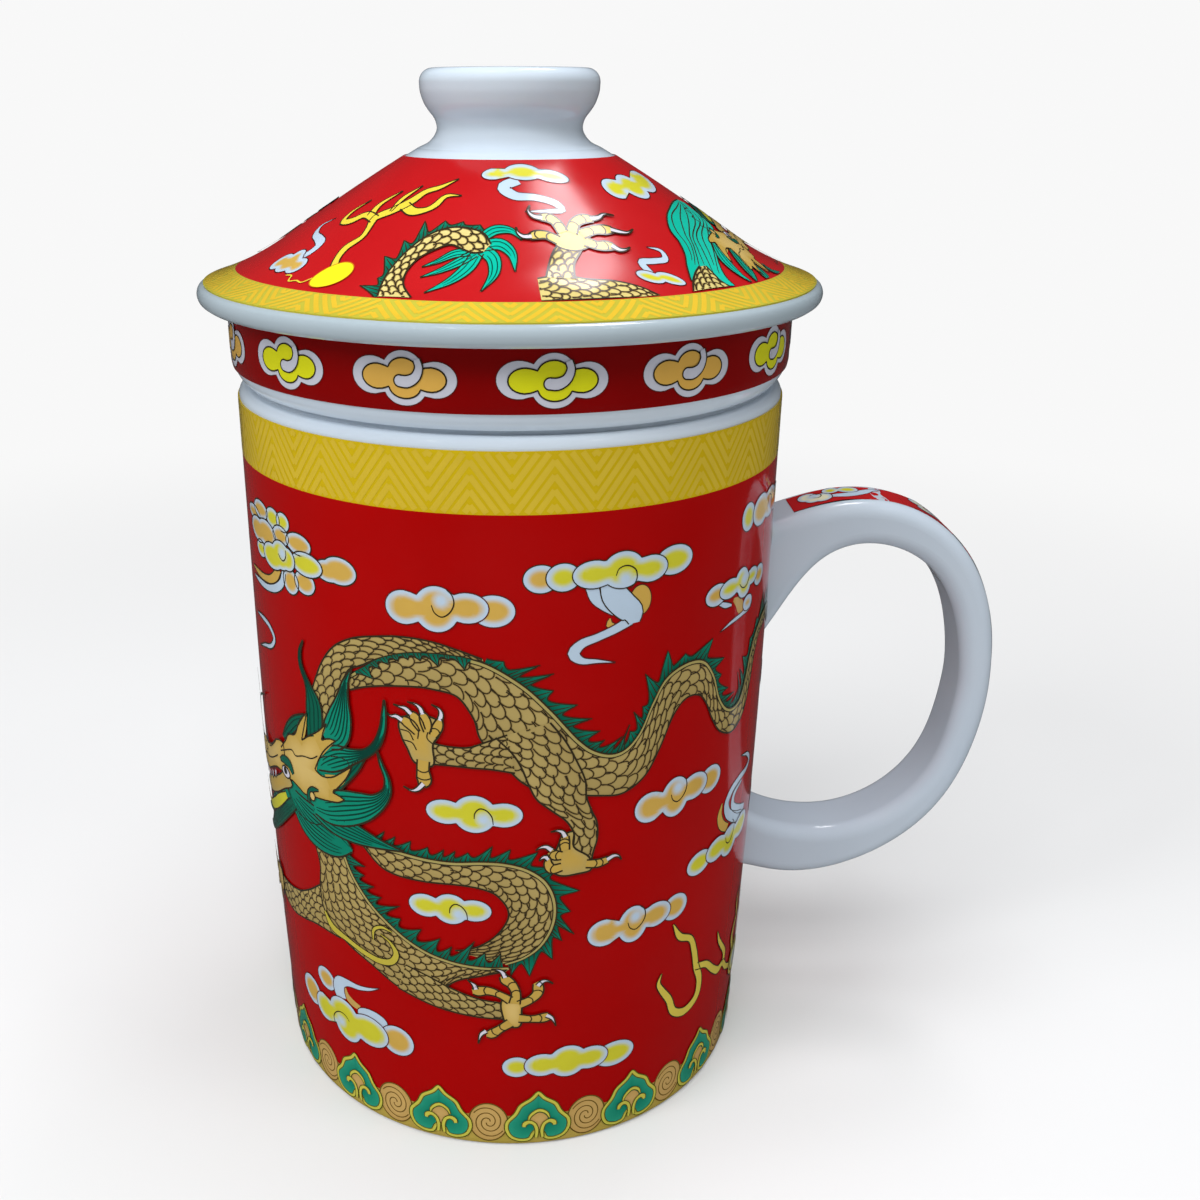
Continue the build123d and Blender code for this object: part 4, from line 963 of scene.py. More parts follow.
def clouds(p):
    """Clouds over the red ground, each with a white margin and a coloured core."""
    def curl(x, y):
        return np.add(CURL, (x, y))

    def cup(x, y):
        return np.add(CUP, (x, y))

    # 1: above the neck
    p.cloud([(-2.2, 87.1, 2.8, 2.2)], "peach", 1)
    p.cloud([(-13.7, 86.8, 2.6, 2.35), (-9.4, 87, 3, 3.15), (-5.5, 87.4, 2.8, 2.1)], "peach", 2,
            swirl=cup(-9.4, 87))
    # 2 and 3: beside the loops
    p.cloud([(-8.9, 57.9, 2.7, 1.9), (-4.9, 57.9, 3, 2.9), (-1, 57.9, 2.6, 1.9)], "yellow", 1,
            swirl=curl(-4.6, 57.7))
    p.cloud([(-12.2, 42.4, 2.5, 1.9), (-8.5, 42.4, 2.6, 2.5), (-5.2, 42.5, 2.5, 1.8)], "yellow", 1,
            swirl=curl(-8.3, 42.2))
    # 4: long, with a trailing scroll
    p.cloud([(16.9, 87.2, 1.6, 2.1)], "peach", 0.4, white="peach")
    p.ribbon([(10.2, 89.8, 1.8), (10.7, 88.3, 1.6), (11.9, 87, 1.2), (13.2, 85.8, 0.5)], "white",
             0.6, across=4, rim=0.15, line="maroon")
    p.ribbon([(12.7, 85.3, 0.3), (12.6, 84.5, 1.0), (13.6, 83.9, 0.8)], "peach", 0.4, rim=0.14,
             line="maroon")
    p.ribbon([(15.6, 84.7, 1.5), (13.6, 83.8, 1.3), (11, 82.9, 1.2), (8.9, 82.2, 1.4),
              (7.95, 81, 1.7), (8.9, 79.95, 1.1), (11.2, 79.6, 0.6), (13.6, 79.1, 0.1)], "white", 1,
             across=4, rim=0.17, line="maroon")
    p.ribbon([(12.9, 90, 3.4), (13.2, 88.5, 3.5), (14.5, 86.9, 3.5), (15.9, 85.5, 3.0),
              (16.1, 84.2, 1.6)], "white", 1.6, across=4, rim=0.17)
    p.cloud([(3.7, 91.3, 2.25, 1.9)], "peach", 1, line="dark")
    p.cloud([(6.5, 91.4, 2.2, 1.9)], "yellow", 1.6, line="dark")
    p.cloud([(21.9, 91.8, 3, 2.05)], "yellow", 2, line="dark")
    p.cloud([(10.4, 91.5, 2.8, 1.9), (14.3, 91.7, 2.9, 2.5), (18.2, 91.3, 2.6, 1.85)], "yellow", 3,
            line="dark", swirl=[(13.3, 91), (13.7, 91.9), (14.8, 92.2), (16, 91.5), (16.2, 90.2),
        (15.4, 89)])
    # 5: over the tail's hump
    p.ribbon([(31, 83.4, 0.6), (32.4, 82.8, 0.9), (33.9, 82.4, 0.4)], "white", 1, rim=0.14)
    p.ribbon([(34.4, 83, 0.5), (35.8, 82.2, 1.6), (36.6, 81, 1.8), (36.6, 80.2, 0.6)], "tan", 0.6,
             rim=0)
    p.ribbon([(40.2, 81.3, 0.4), (39.6, 80.6, 1.0), (37.2, 80.1, 0.7), (34.2, 79.8, 0.6),
              (31.4, 79.2, 0.1)], "white", 1, across=4, rim=0.15, line="maroon")
    p.cloud([(38.7, 81.3, 1.5, 1.2)], "peach", 1.4, soft=(0.4, 1.2))
    p.cloud([(30.2, 84.9, 2.4, 1.6)], "peach", 1.6, line="dark")
    p.cloud([(42.6, 84.2, 2, 1.6)], "peach", 1.6, line="dark")
    p.cloud([(33.2, 85, 2.5, 1.45), (36.3, 85.3, 1.9, 1.9), (37.2, 84.1, 1.9, 1.6),
             (39.6, 85, 2, 1.3)], "yellow", 2.6, line="dark", swirl=[(35.7, 84.9), (36.3, 84.3),
        (37.2, 84), (38.1, 84.4), (38.5, 85.2), (38.2, 86.2)])
    # 6: right, high
    p.cloud([(37.2, 94.1, 1.9, 2.05)], "yellow", 1)
    p.cloud([(41.6, 94, 3.1, 2.3), (46, 94, 3.6, 2.2), (50.4, 93.5, 3, 2)], "peach", 2,
            swirl=curl(45, 94))
    # 7 and 8: under the tail
    p.cloud([(31.4, 56.6, 2.6, 2.2)], "peach", 1)
    p.cloud([(19.8, 56.2, 2.6, 2.4), (24.1, 56.5, 2.6, 3.15), (27.8, 56.9, 2.8, 2.1)], "peach", 2,
            swirl=cup(23.9, 56.6))
    p.cloud([(25.5, 37.7, 2.5, 2.2)], "peach", 1)
    p.cloud([(13.3, 37.4, 2.6, 2.3), (17.9, 37.6, 2.5, 3.1), (21.9, 37.9, 2.7, 2.1)], "peach", 2,
            swirl=cup(17.6, 37.6))
    # 9: with a striped scroll
    p.ribbon([(37.6, 45.6, 1.4), (35.7, 47, 1.6), (34.8, 49, 1.3), (35.3, 50.8, 0.4)], "peach", 0.6,
             rim=0.15)
    p.ribbon([(44.6, 45.6, 1.4), (41, 47.2, 1.4), (38.9, 49, 1.2), (39.2, 50.6, 1.0),
              (42, 51.6, 0.4)], "white", 0.8, across=4, rim=0.15)
    p.ribbon([(43, 45, 1.8), (39.8, 46.4, 1.8), (37.3, 48.3, 1.6), (36.7, 50.2, 1.5),
              (38, 51.7, 1.4), (41, 52.5, 1.2), (44, 52.6, 1.0), (45.4, 53.4, 0.9),
              (44.2, 54.9, 0.8), (41, 56.2, 0.1)], "white", 1, across=4, rim=0.15)
    p.cloud([(30.2, 43.2, 2.8, 2)], "yellow", 2)
    p.cloud([(34.6, 43.5, 2.9, 2), (38.6, 43, 2.8, 2.6), (43.2, 43.4, 3, 2)], "yellow", 3,
            swirl=cup(37.8, 43.6))
    # 11 and 12: low, over the foot border
    p.cloud([(0.7, 15.2, 2.2, 1.9)], "yellow", 1)
    p.cloud([(15.9, 15, 3.4, 2.3)], "yellow", 1)
    p.cloud([(4.5, 15.4, 2.7, 2.1), (8.4, 15.6, 3, 2.9), (12, 15.5, 2.8, 2.1)], "yellow", 2)
    p.cloud([(-32.2, 21.7, 2.3, 2)], "peach", 0.5)
    p.ribbon([(-27.7, 22.4, 0.6), (-27.4, 21.2, 1.1), (-26.2, 20.3, 1.3), (-24.6, 20, 0.9)], "tan",
             0.8, rim=0)
    p.ribbon([(-28.6, 19.9, 2.4), (-29.1, 21.4, 2.6), (-28.6, 22.9, 2.3), (-27.1, 23.6, 1.4),
              (-24.5, 23.9, 0.9), (-22.4, 24.5, 0.6), (-20.5, 25.4, 0.1)], "white", 1, across=4,
             rim=0.15, line="maroon")
    p.cloud([(-22.3, 19.2, 2.9, 1.5)], "white", 1.2)
    p.cloud([(-37, 16.8, 2.8, 2.6)], "peach", 1.6)
    p.cloud([(-17.9, 16.8, 2.9, 2.7)], "peach", 1.6)
    p.cloud([(-33.2, 15.8, 2.5, 2.5), (-28.4, 17.4, 3.2, 2.6), (-27.7, 14.9, 2.8, 2.6),
             (-23, 16.5, 3.6, 2.8)], "yellow", 2.6, swirl=[(-30.7, 13.9), (-31, 15.2),
        (-30.3, 16.4), (-29, 17.1), (-27.9, 16.9), (-27.2, 16.2)])
    # 13: cluster at the left, high
    p.ribbon([(-34.9, 87, 1.0), (-35.6, 85.3, 1.3), (-37.6, 83.9, 1.3), (-40.4, 83.1, 1.1),
              (-43.4, 82.9, 1.0), (-47, 82.9, 0.3)], "white", 1, rim=0.2)
    p.ribbon([(-36.2, 87, 1.2), (-37.3, 85.8, 1.5), (-39.2, 84.7, 1.3), (-41.8, 84.2, 1.1),
              (-44.4, 84.1, 1.0), (-47.4, 84.2, 0.3)], "peach", 1.2, rim=0.2)
    for lobes, core, layer in (
            ([(-44.4, 93, 2.6, 1)], "peach", 0.6), ([(-41.3, 94.2, 2.4, 1.2)], "peach", 0.8),
            ([(-37.1, 94.1, 1.8, 1.3)], "yellow", 1), ([(-34.3, 94.2, 1.5, 1.2)], "yellow", 1.2),
            ([(-35.1, 92.1, 1.9, 1.25)], "peach", 1.6), ([(-30.9, 92, 2.5, 1.35)], "peach", 1.8),
            ([(-39.6, 91.3, 2.8, 1.7), (-42.8, 91, 2.8, 1.6)], "peach", 2),
            ([(-41.9, 88.4, 1.7, 1.1)], "yellow", 2.2),
            ([(-25.2, 89.6, 2.3, 1.35), (-23.3, 90, 2.6, 1.7)], "peach", 1),
            ([(-30, 86.8, 2, 1.5)], "peach", 1), ([(-33.2, 86.1, 1.7, 1.6)], "peach", 1.3),
            ([(-29.4, 89.5, 2.9, 1.5)], "yellow", 2.2)):
        full = [(x, z, across * 1.1, up * 1.14) for x, z, across, up in lobes]
        p.cloud(full, core, layer, rim=0.2, line="dark", soft=(0.2, 0.9))
    p.cloud([(-37.8, 88.5, 3, 1.9), (-35.3, 89.3, 2.5, 2.1), (-33.6, 89.2, 1.8, 1.7)], "yellow", 3,
            rim=0.2, line="dark", soft=(0.2, 0.8),
            swirl=[(-33.9, 90.4), (-33.9, 89.5), (-34.6, 88.7), (-35.3, 88.8), (-35.9, 89.4)])
    # 14: open white scroll
    p.ribbon([(-47.5, 77, 0.2), (-44, 77.3, 0.8), (-41, 77, 0.9), (-39.5, 75.7, 0.9),
              (-40.8, 74.1, 0.8), (-44, 73, 0.6), (-47, 71.9, 0.1)], "white", 1)
    # and a few where the ends meet
    p.cloud([(56.6, 86, 2.6, 1.9), (60.4, 86.6, 2.9, 2.5), (64.4, 86, 2.7, 1.9)], "peach", 2,
            swirl=curl(60.6, 86))
    p.cloud([(54.5, 64, 2.4, 1.9), (58.2, 64.6, 2.9, 2.6), (62, 64.2, 2.5, 2)], "yellow", 2,
            swirl=curl(58.4, 64))
    p.cloud([(53, 42.6, 2.4, 1.9), (56.6, 43, 2.7, 2.4), (60.2, 42.7, 2.3, 1.8)], "peach", 2,
            swirl=curl(56.8, 42.5))
    p.cloud([(57.5, 20, 2.5, 1.9), (61.4, 20.6, 3, 2.6), (65.4, 20.1, 2.6, 2)], "yellow", 2,
            swirl=curl(61.4, 20))


art = Painting(7)
for draw in (clouds, pearl_and_flames, dragon_body, claws, mane, face):
    draw(art)
laid("mug_dragon_painting", art, on_wall, "mug")
laid("mug_dragon_painting_back", art, on_wall, "mug", turn=math.pi)


# ---------------------------------------------------------------- borders and bands

def foot_border(p, middle, pitch):
    """One unit of the border: a ruyi head, mirrored about its middle, and a disc of spirals."""
    wheel = (middle + pitch / 2, 4.5)
    p.patch(disc(wheel, (3.1, 3.7)), 1, "tan", "tan_lit")
    p.strokes(disc(wheel, (3.02, 3.62)), 0.2, 1.6, "border_brown", closed=True)
    for start in (0.4, 0.4 + math.pi):
        turns = spiral((0, 0), 0.3, 2.6, 1.35, start) * (1, 1.18)
        p.strokes(turns + np.array(wheel), 0.17, 1.6, "border_brown")
    half = np.array([(0, 10.5), (1.2, 9.3), (2.9, 8), (3.7, 6.4), (5, 4.7), (5.1, 3), (4.3, 1.5),
                     (2.6, 0.8), (1.1, 1.1), (0.3, 2.5)])
    ring = smooth(np.vstack([half, half[:0:-1] * (-1, 1)]), 0.35, True) + (middle, 0)
    p.patch(ring, 3, "border")
    p.strokes(ring, 0.16, 3.4, "border_olive", closed=True)
    inner = ring - normals_along(ring, True) * 0.62
    p.patch(inner, 4, "leaf", "green", centre=(middle, 5.2))
    p.strokes(inner, 0.14, 4.5, "border_olive", closed=True)
    eye = [(-1.2, 5.1), (-0.6, 6), (0.2, 6.4), (1, 6), (1.5, 5.1), (0.7, 4.3), (0.25, 2.9),
           (-0.2, 4.3)]
    p.patch(smooth(eye, 0.35, True) + (middle, 0), 5, "tan", "tan_lit")
    p.ribbon([(middle - 1.5, 4.9, 0.25), (middle - 1.2, 5.9, 0.5), (middle + 0.1, 6.9, 0.6),
              (middle + 1.3, 6.3, 0.5), (middle + 1.75, 5.3, 0.25)], "border", 6, 0.13, 0.3,
             line="border_olive")
    for side in (-1, 1):
        hook = [(0.5, 1.6, 0.5), (0.4, 3.1, 0.6), (0.8, 4.3, 0.6), (1.6, 4.75, 0.7),
                (2.25, 4.4, 0.8), (2.4, 3.8, 0.55)]
        p.ribbon([(middle + 0.2 + side * x, z, w) for x, z, w in hook], "border", 7, 0.13, 0.3,
                 line="border_olive")


def zigzags(p, low, high, pitch, tall, gap, width, tint, middle=0.0):
    """One unit of nested zigzags in a band: straight strokes that rise to a peak and fall again,
    a gap apart, each cut where it would leave the band."""
    half = pitch / 2
    for foot in np.arange(low - tall + gap / 2, high, gap):
        first = max(0.0, half * (1 - (high - foot) / tall))
        last = min(half, half * (1 - (low - foot) / tall))
        if last - first > 0.1:
            x = np.linspace(first, last, 8)
            z = foot + tall * (1 - x / half)
            p.strokes([np.stack([middle + way * x, z], 1) for way in (1, -1)], width, 0.6, tint)


def collar_clouds(p, pitch):
    """Two ruyi clouds: a pale margin, a coloured core with a dark line, and a pale curl."""
    for x, core in ((5.0, "collar_yellow"), (5.0 - pitch, "collar_tan")):
        z = 115.95
        p.cloud([(x - 4, z + 0.2, 2.7, 2.3), (x, z + 1, 2.6, 2.35), (x + 4, z, 2.6, 2.2),
                 (x + 0.2, z - 1.05, 2.7, 2.2)], "collar_white", 1, white="collar_white", rim=0.12)
        p.cloud([(x - 3.3, z + 0.1, 2, 1.5), (x, z + 0.9, 1.9, 1.55), (x + 3.4, z, 1.9, 1.45),
                 (x + 0.2, z - 0.9, 2, 1.45)], core, 2, white=core, rim=0.2, line="dark")
        p.patch(disc((x - 0.42, z - 0.28), 0.72, 24), 3, "collar_white", rim=0.18)
        p.ribbon([(x + 1.75, z + 2.35, 0.9), (x + 2.02, z + 1.4, 1.0), (x + 1.55, z + 0.25, 1.2),
                  (x + 0.5, z - 0.32, 1.45), (x - 0.42, z - 0.28, 1.4)], "collar_white", 4, 0.18,
                 0.3)


# how often each unit of a border or band comes round, and how far a yellow band's zigzags
# stay off its edges
FOOT_UNITS, RIM_UNITS, COLLAR_UNITS, BAND_FREE = 16, 24, 7, 0.25
MUG_ROUND = 2 * math.pi * MUG_R
COLLAR_PITCH = 2 * math.pi * COLLAR_R / (2 * COLLAR_UNITS)

art = Painting(21)
foot_border(art, 4.0, MUG_ROUND / FOOT_UNITS)
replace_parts(laid("mug_foot_painting", art, on_wall, "mug", copies=FOOT_UNITS),
            "mug_foot_border")

art = Painting(22)
zigzags(art, RIM_LOW + BAND_FREE, RIM_TOP - BAND_FREE, MUG_ROUND / RIM_UNITS, 7.0, 1.85, 0.75,
        "chevron", 15.5)
laid("mug_rim_zigzags", art, on_wall, "mug", copies=RIM_UNITS)

art = Painting(23)
collar_clouds(art, COLLAR_PITCH)
laid("infuser_clouds", art, on_collar, "infuser", copies=COLLAR_UNITS)


# ---------------------------------------------------------------- the painted lid

def lid_clouds(p):
    """Clouds on the lid's dome, with trailing scrolls."""
    tail = dict(rim=0.14, line="maroon", across=4, step=0.4)
    p.ribbon([(-27.6, -18.6, 1.2), (-25.6, -19.2, 1.3), (-24.2, -18.4, 1.4), (-24.5, -16.8, 1.2),
              (-25.2, -14.6, 0.9), (-24.6, -12.9, 0.5), (-22.6, -13.4, 0.1)], "white", 1, **tail)
    p.cloud([(-29.4, -17.4, 1.6), (-28.1, -19.2, 1.9), (-26.9, -21.2, 1.5), (-27.3, -18.3, 1.3)],
            "peach", 2, soft=(0.45, 1.0))
    p.ribbon([(1, -18.4, 1.6), (-0.8, -19.6, 1.7), (0.6, -21.1, 1.5), (3.2, -21.2, 1.2),
              (5.7, -21.8, 1.2), (6.4, -22.7, 1.0), (4.6, -23.3, 0.7), (1.8, -23.7, 0.1)], "white",
             1, **tail)
    p.cloud([(-1.9, -17.2, 1.7, 1.1), (1.6, -16.9, 2.4, 1.5), (5.2, -17, 2.3, 1.15)], "yellow", 2,
            soft=(0.35, 0.9))
    p.ribbon([(16.8, -29.4, 1.1), (15.9, -28, 1.1), (17.4, -27, 1.0), (19, -25.7, 0.9),
              (18.6, -24.5, 0.7), (16.7, -24.9, 0.1)], "white", 1, **tail)
    p.cloud([(16.8, -30.3, 1.8, 1.05), (19.3, -29.5, 1.9, 1.05)], "yellow", 2, soft=(0.3, 0.8))
    p.cloud([(13.4, -15.4, 1.8, 1.9), (15.9, -12.6, 2.3, 2.3), (17.6, -8.6, 1.8, 3.0)], "yellow", 2,
            soft=(0.45, 1.1))


def lid_pearl(p):
    """The flaming pearl on the lid: flames that branch, a thin curl and an oval pearl."""
    for points in (
            [(-21.6, -25.4, 1.1), (-21.3, -24, 1.0), (-20.4, -22.7, 1.2), (-18.4, -22, 0.9),
             (-17.6, -20.6, 0.9), (-17, -19.2, 1.3), (-14.6, -19.2, 1.4), (-12.4, -18.8, 1.4),
             (-10.6, -17.9, 1.0), (-8.8, -17.9, 0.8), (-6.4, -17.2, 0.1)],
            [(-13.2, -19.2, 1.3), (-12, -21, 1.3), (-10.2, -21.4, 0.9), (-9.2, -21, 1.0),
             (-8, -19.9, 0.7), (-6, -20.4, 0.1)],
            [(-17, -19.4, 1.2), (-18.4, -17.3, 1.1), (-20.2, -17, 1.2), (-21.4, -15.9, 0.9),
             (-20.4, -14.6, 0.6), (-17.8, -14.2, 0.1)],
            [(-17.6, -18, 1.2), (-16.6, -16.6, 0.9), (-13.6, -15.8, 0.1)],
            [(-15, -19.2, 0.3), (-13.6, -17.6, 0.8), (-11, -16.4, 0.1)]):
        p.ribbon(points, "lid_flame", 3, rim=0.18)
    p.draw([(-24.2, -26.5), (-25.6, -26.6), (-26.3, -25.6), (-27.4, -24.9), (-27.2, -23.6),
            (-28, -22.8)], 0.22, 4, 0.3, "lid_flame")
    pearl = disc((-21.7, -27.5), (2.75, 2.15))
    p.patch(pearl, 4, "lid_pearl")
    p.strokes(pearl, 0.14, 4.4, "pearl_edge", closed=True)


def lid_dragon(p):
    """The lid's dragon, as far as the ground shows it: tail, body, a fore claw, neck and mane."""
    scales = ("lid_scale", "lid_scale_low")
    # tail with its tuft
    for points in (
            [(-3.6, -28.0, 1.3), (-1.8, -26.7, 1.5), (0.2, -26.9, 0.9), (1.4, -28.3, 0.1)],
            [(-3.2, -29, 1.6), (-1.2, -28.9, 1.7), (0.2, -30.3, 1.2), (0.6, -33, 0.1)],
            [(-3.2, -29.6, 1.6), (-2, -31, 1.7), (-1.9, -33.2, 1.3), (-3.4, -36.2, 0.1)],
            [(-3.8, -29.9, 1.5), (-5, -32, 1.7), (-7, -33.9, 1.2), (-10, -35.5, 0.1)],
            [(-4.2, -30, 1.2), (-6, -31, 1.3), (-8.4, -32, 0.8), (-10.6, -32.5, 0.1)],
            [(-4.6, -29.8, 1.1), (-6.6, -29.7, 1.2), (-8.6, -30.4, 0.7), (-10.5, -30.8, 0.1)]):
        p.plume(points, "lid_green", 2, 3, ink=0.14)
    tail = [(-15.5, -34.8, -11.5, -36.2), (-15.2, -32.6, -12.5, -33.6),
            (-14.4, -30.2, -12.4, -31.4), (-12.6, -27.9, -11.2, -29.6), (-10, -26.1, -9.3, -28.7),
            (-7.4, -25.6, -7.2, -28.3), (-4.9, -26.2, -5.8, -29.2), (-3.1, -27.3, -4.4, -30),
            (-2.3, -28.9, -3.2, -30)]
    back, belly = p.scaled(tail, 1.25, 5, tints=scales)
    p.fins(back[:int(len(back) * 0.9)], 1, 2.5, pitch=2.0, height=1.9)
    # the body's back where it rises over the border, and the fore leg with its claw
    p.scaled([(3.2, -34, 3.6, -38), (6, -33.1, 6.6, -37.5), (9, -33.2, 9.6, -36.8),
              (12.5, -32.7, 13, -35.8), (15.5, -32.9, 16, -34.8), (17.6, -33.8, 17.8, -34)], 1.3, 3,
             tints=scales)
    p.scaled([(4.2, -33.8, 7.6, -33.6), (4.6, -31.6, 7.6, -31.2), (5.2, -29.6, 8.4, -29.2),
              (6, -28.2, 9, -27.6)], 1.2, 5, tints=scales)
    p.patch([(5.4, -28.6), (6, -26.6), (7.6, -25.6), (9.4, -26.2), (9.8, -27.6), (8.6, -28.8),
             (6.8, -29.2)], 6, "lid_face", rim=0.2, step=0.5)
    for points, claw in (
            ([(7.4, -26.4, 1.4), (8, -24.6, 1.3), (9.2, -23.6, 1.4), (10.2, -23.4, 0.9)],
             [(9.9, -23.4), (10.9, -22.8), (11.6, -21.9), (12.9, -21.5)]),
            ([(8.6, -26.4, 1.4), (10.2, -25.2, 1.3), (11.6, -24.6, 1.5), (12.6, -24.2, 0.9)],
             [(12.3, -24.3), (13.4, -24.2), (14.5, -23.8), (15.2, -22.8)]),
            ([(9, -27.4, 1.4), (10.6, -27.6, 1.3), (11.8, -27.2, 1.4), (12.6, -27, 0.9)],
             [(12.3, -27), (13.2, -27.3), (14, -27), (14.6, -26.3)]),
            ([(6.4, -26.6, 1.4), (5.4, -25, 1.3), (4.4, -24.6, 1.4), (3.6, -24.8, 0.9)],
             [(3.9, -24.8), (2.8, -24.6), (2.2, -23.8), (2.4, -22.9)]),
            ([(5.8, -28, 1.3), (4.2, -27.4, 1.2), (3, -27.6, 1.3), (2.3, -28, 0.8)],
             [(2.6, -27.8), (1.6, -27.9), (0.9, -27.3), (0.7, -26.5)])):
        p.finger(points, claw, 6.6, "lid_face")
    # mane, with the neck that comes out from under it
    left = smooth([(22.4, -7.4), (21.5, -10.2), (20.8, -13), (20.1, -16.2), (20.2, -19.2),
                   (21.2, -21), (21.7, -23), (21.7, -25.5), (21.9, -28.6)], 0.45)
    right = smooth([(23.6, -6.4), (25.2, -7.6), (26.8, -9.4), (27.0, -12.6), (26.6, -15.6),
                    (26.3, -19), (26.3, -21.4), (26.8, -24.6), (27.8, -26.4)], 0.45)
    count = min(len(left), len(right))
    left, right = (way[np.linspace(0, len(way) - 1, count).round().astype(int)]
                   for way in (left, right))
    p.ruled(left, right, 6, 5, "lid_green", "lid_green_light")
    p.ink(np.stack([left, right]), 0.2, 5.4)
    for v in (0.14, 0.28, 0.4, 0.52, 0.64, 0.76, 0.88):
        sway = 0.05 * np.sin(np.linspace(0, 3 * math.pi, count) + 9 * v)
        hair = left + (right - left) * (v + sway)[:, None]
        first, last = int(count * 0.08 * (1 + v)), int(count * (0.78 + 0.2 * ((v * 37) % 1)))
        fade = np.sin(np.linspace(0.3, math.pi - 0.2, last - first)) ** 0.5
        p.ink(hair[first:last], 0.17 * fade, 5.5)
    p.draw([(22.6, -8), (23.6, -8.6), (23.2, -9.8), (24.2, -10.4), (24, -11.6), (25, -11.6),
            (24.9, -12.8), (25.8, -12.4), (26.2, -13.4)], 0.2, 5.6, 0.3)
    p.scaled([(21.9, -31.2, 26.8, -27.0), (22.1, -28.9, 25.8, -26.2), (22.7, -26.4, 25, -24.8),
              (23.4, -24.6, 24.3, -23.8)], 1.2, 6.5, tints=scales)
    for points, tint in (
            ([(26.2, -16, 0.5), (27.0, -18.8, 1.6), (27.6, -20.2, 1.7), (28.9, -22, 1.0),
              (30.5, -23.3, 0.1)], "lid_green"),
            ([(28.4, -14, 0.3), (29.4, -16.2, 1.3), (30.4, -19.2, 1.4), (31.2, -22.4, 0.1)],
             "lid_green_deep"),
            ([(31.6, -15, 0.3), (32.3, -17, 1.2), (32.9, -18.8, 1.1), (33.4, -20, 0.3)],
             "lid_green_deep"),
            ([(33.2, -13.2, 0.3), (34.4, -14.6, 1.2), (35.8, -13.8, 1.0), (36.9, -12.4, 0.1)],
             "lid_green_deep")):
        p.plume(points, tint, 2, 5.8, ink=0.15)


def on_the_side(spots):
    """The painted face brought to the lid: turned half round, shrunk, top to the middle."""
    across = np.array([math.cos(FACE_TURN), math.sin(FACE_TURN)])
    up = np.array([-across[1], across[0]])
    rel = (spots - FACE_MIDDLE) * FACE_SHRINK
    return within_red(FACE_PLACE - rel[:, :1] * across - rel[:, 1:] * up)


def within_red(spots):
    """Points past the red ground's edge are drawn back to it."""
    r = np.linalg.norm(spots, axis=1, keepdims=True)
    return spots * np.minimum(1, (RED_OUT - 0.1) / np.maximum(r, 1e-6))


def into_band(spots):
    """Chart of the yellow band: the arc at its middle, and the distance out from the red."""
    turn, r = spots[:, 0] / BAND_MIDDLE, RED_OUT + spots[:, 1]
    return np.stack([r * np.sin(turn), -r * np.cos(turn)], 1)


# the face on the lid: its middle in the mug's painting, its place, its turn and its scale
FACE_MIDDLE, FACE_PLACE = (-34, 58), np.array([29.5, -12.0])
FACE_TURN, FACE_SHRINK = math.radians(62), 0.62

art, side = Painting(31), Painting(32)
lid_clouds(art)
lid_pearl(art)
lid_dragon(art)
face(side)
art.take(side, on_the_side, press=0.7)
whole = Painting()
whole.take(art, within_red, press=0.8)
laid("lid_dragon_painting", whole, on_lid, "lid", copies=2)

art, band = Painting(33), Painting(34)
zigzags(band, BAND_FREE, BRIM[0] - RED_OUT - BAND_FREE, 2 * math.pi * BAND_MIDDLE / RIM_UNITS,
        6.0, 1.6, 0.6, "lid_chevron")
art.take(band, into_band)
laid("lid_rim_zigzags", art, on_lid, "lid", copies=RIM_UNITS)


# ---------------------------------------------------------------- the handle's strip

HANDLE_LINE = smooth([(36.8, 86.23), (40.64, 87.84), (50.79, 90.47), (61.50, 88.67), (69.39, 82.11),
                      (74.02, 72.27), (75.4, 60.38), (73.69, 48.16), (68.59, 37.42), (60.11, 30.03),
                      (49.30, 26.3), (42.09, 26.81), (float(wall_radius(26.3)) - 2.2, 27.97)], 0.2)
out_at, low_at = (int(np.argmax(part)) for part in (HANDLE_LINE[:, 0] > STRIP_FROM,
                                                    HANDLE_LINE[:, 1] < STRIP_LOW))
STRIP_LINE = HANDLE_LINE[out_at:low_at]
STRIP_RUN = run_along(STRIP_LINE)


def on_strip(spots, lift):
    """Chart of the handle's outer face: along it from the top, and across it away."""
    out = normals_along(STRIP_LINE)
    x, z, nx, nz = (np.interp(spots[:, 0], STRIP_RUN, c) for c in (*STRIP_LINE.T, *out.T))
    high = STRIP_LIFT + lift * 0.6
    return (np.column_stack([x + nx * high, spots[:, 1], z + nz * high]),
            np.column_stack([nx, 0 * nx, nz]))


def strip_ground():
    """The red strip: its run along the handle by its width, its border turned down to the glaze."""
    end = STRIP_RUN[-1]
    run = np.concatenate([[0], np.arange(0, end, 0.7), [end] * 2])
    wide = np.linspace(-STRIP_HALF, STRIP_HALF, 7)
    wide = np.concatenate([wide[:1], wide, wide[-1:]])
    s, y = np.meshgrid(run, wide, indexing="ij")
    lift = np.zeros(s.shape)
    lift[[0, -1]] = lift[:, [0, -1]] = -0.4
    points, normals = on_strip(np.stack([s.ravel(), y.ravel()], 1), lift.ravel())
    faces = lattice(len(run), len(wide))[:, ::-1]
    a, b, c = (points[faces[:, i]] for i in range(3))
    faces = faces[np.linalg.norm(np.cross(b - a, c - a), axis=1) > 1e-6]
    piece = finish_mesh("handle_red_strip", points, faces, "mug", ("lid_red",),
                        normals=normals)
    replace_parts(piece, "handle_strip")


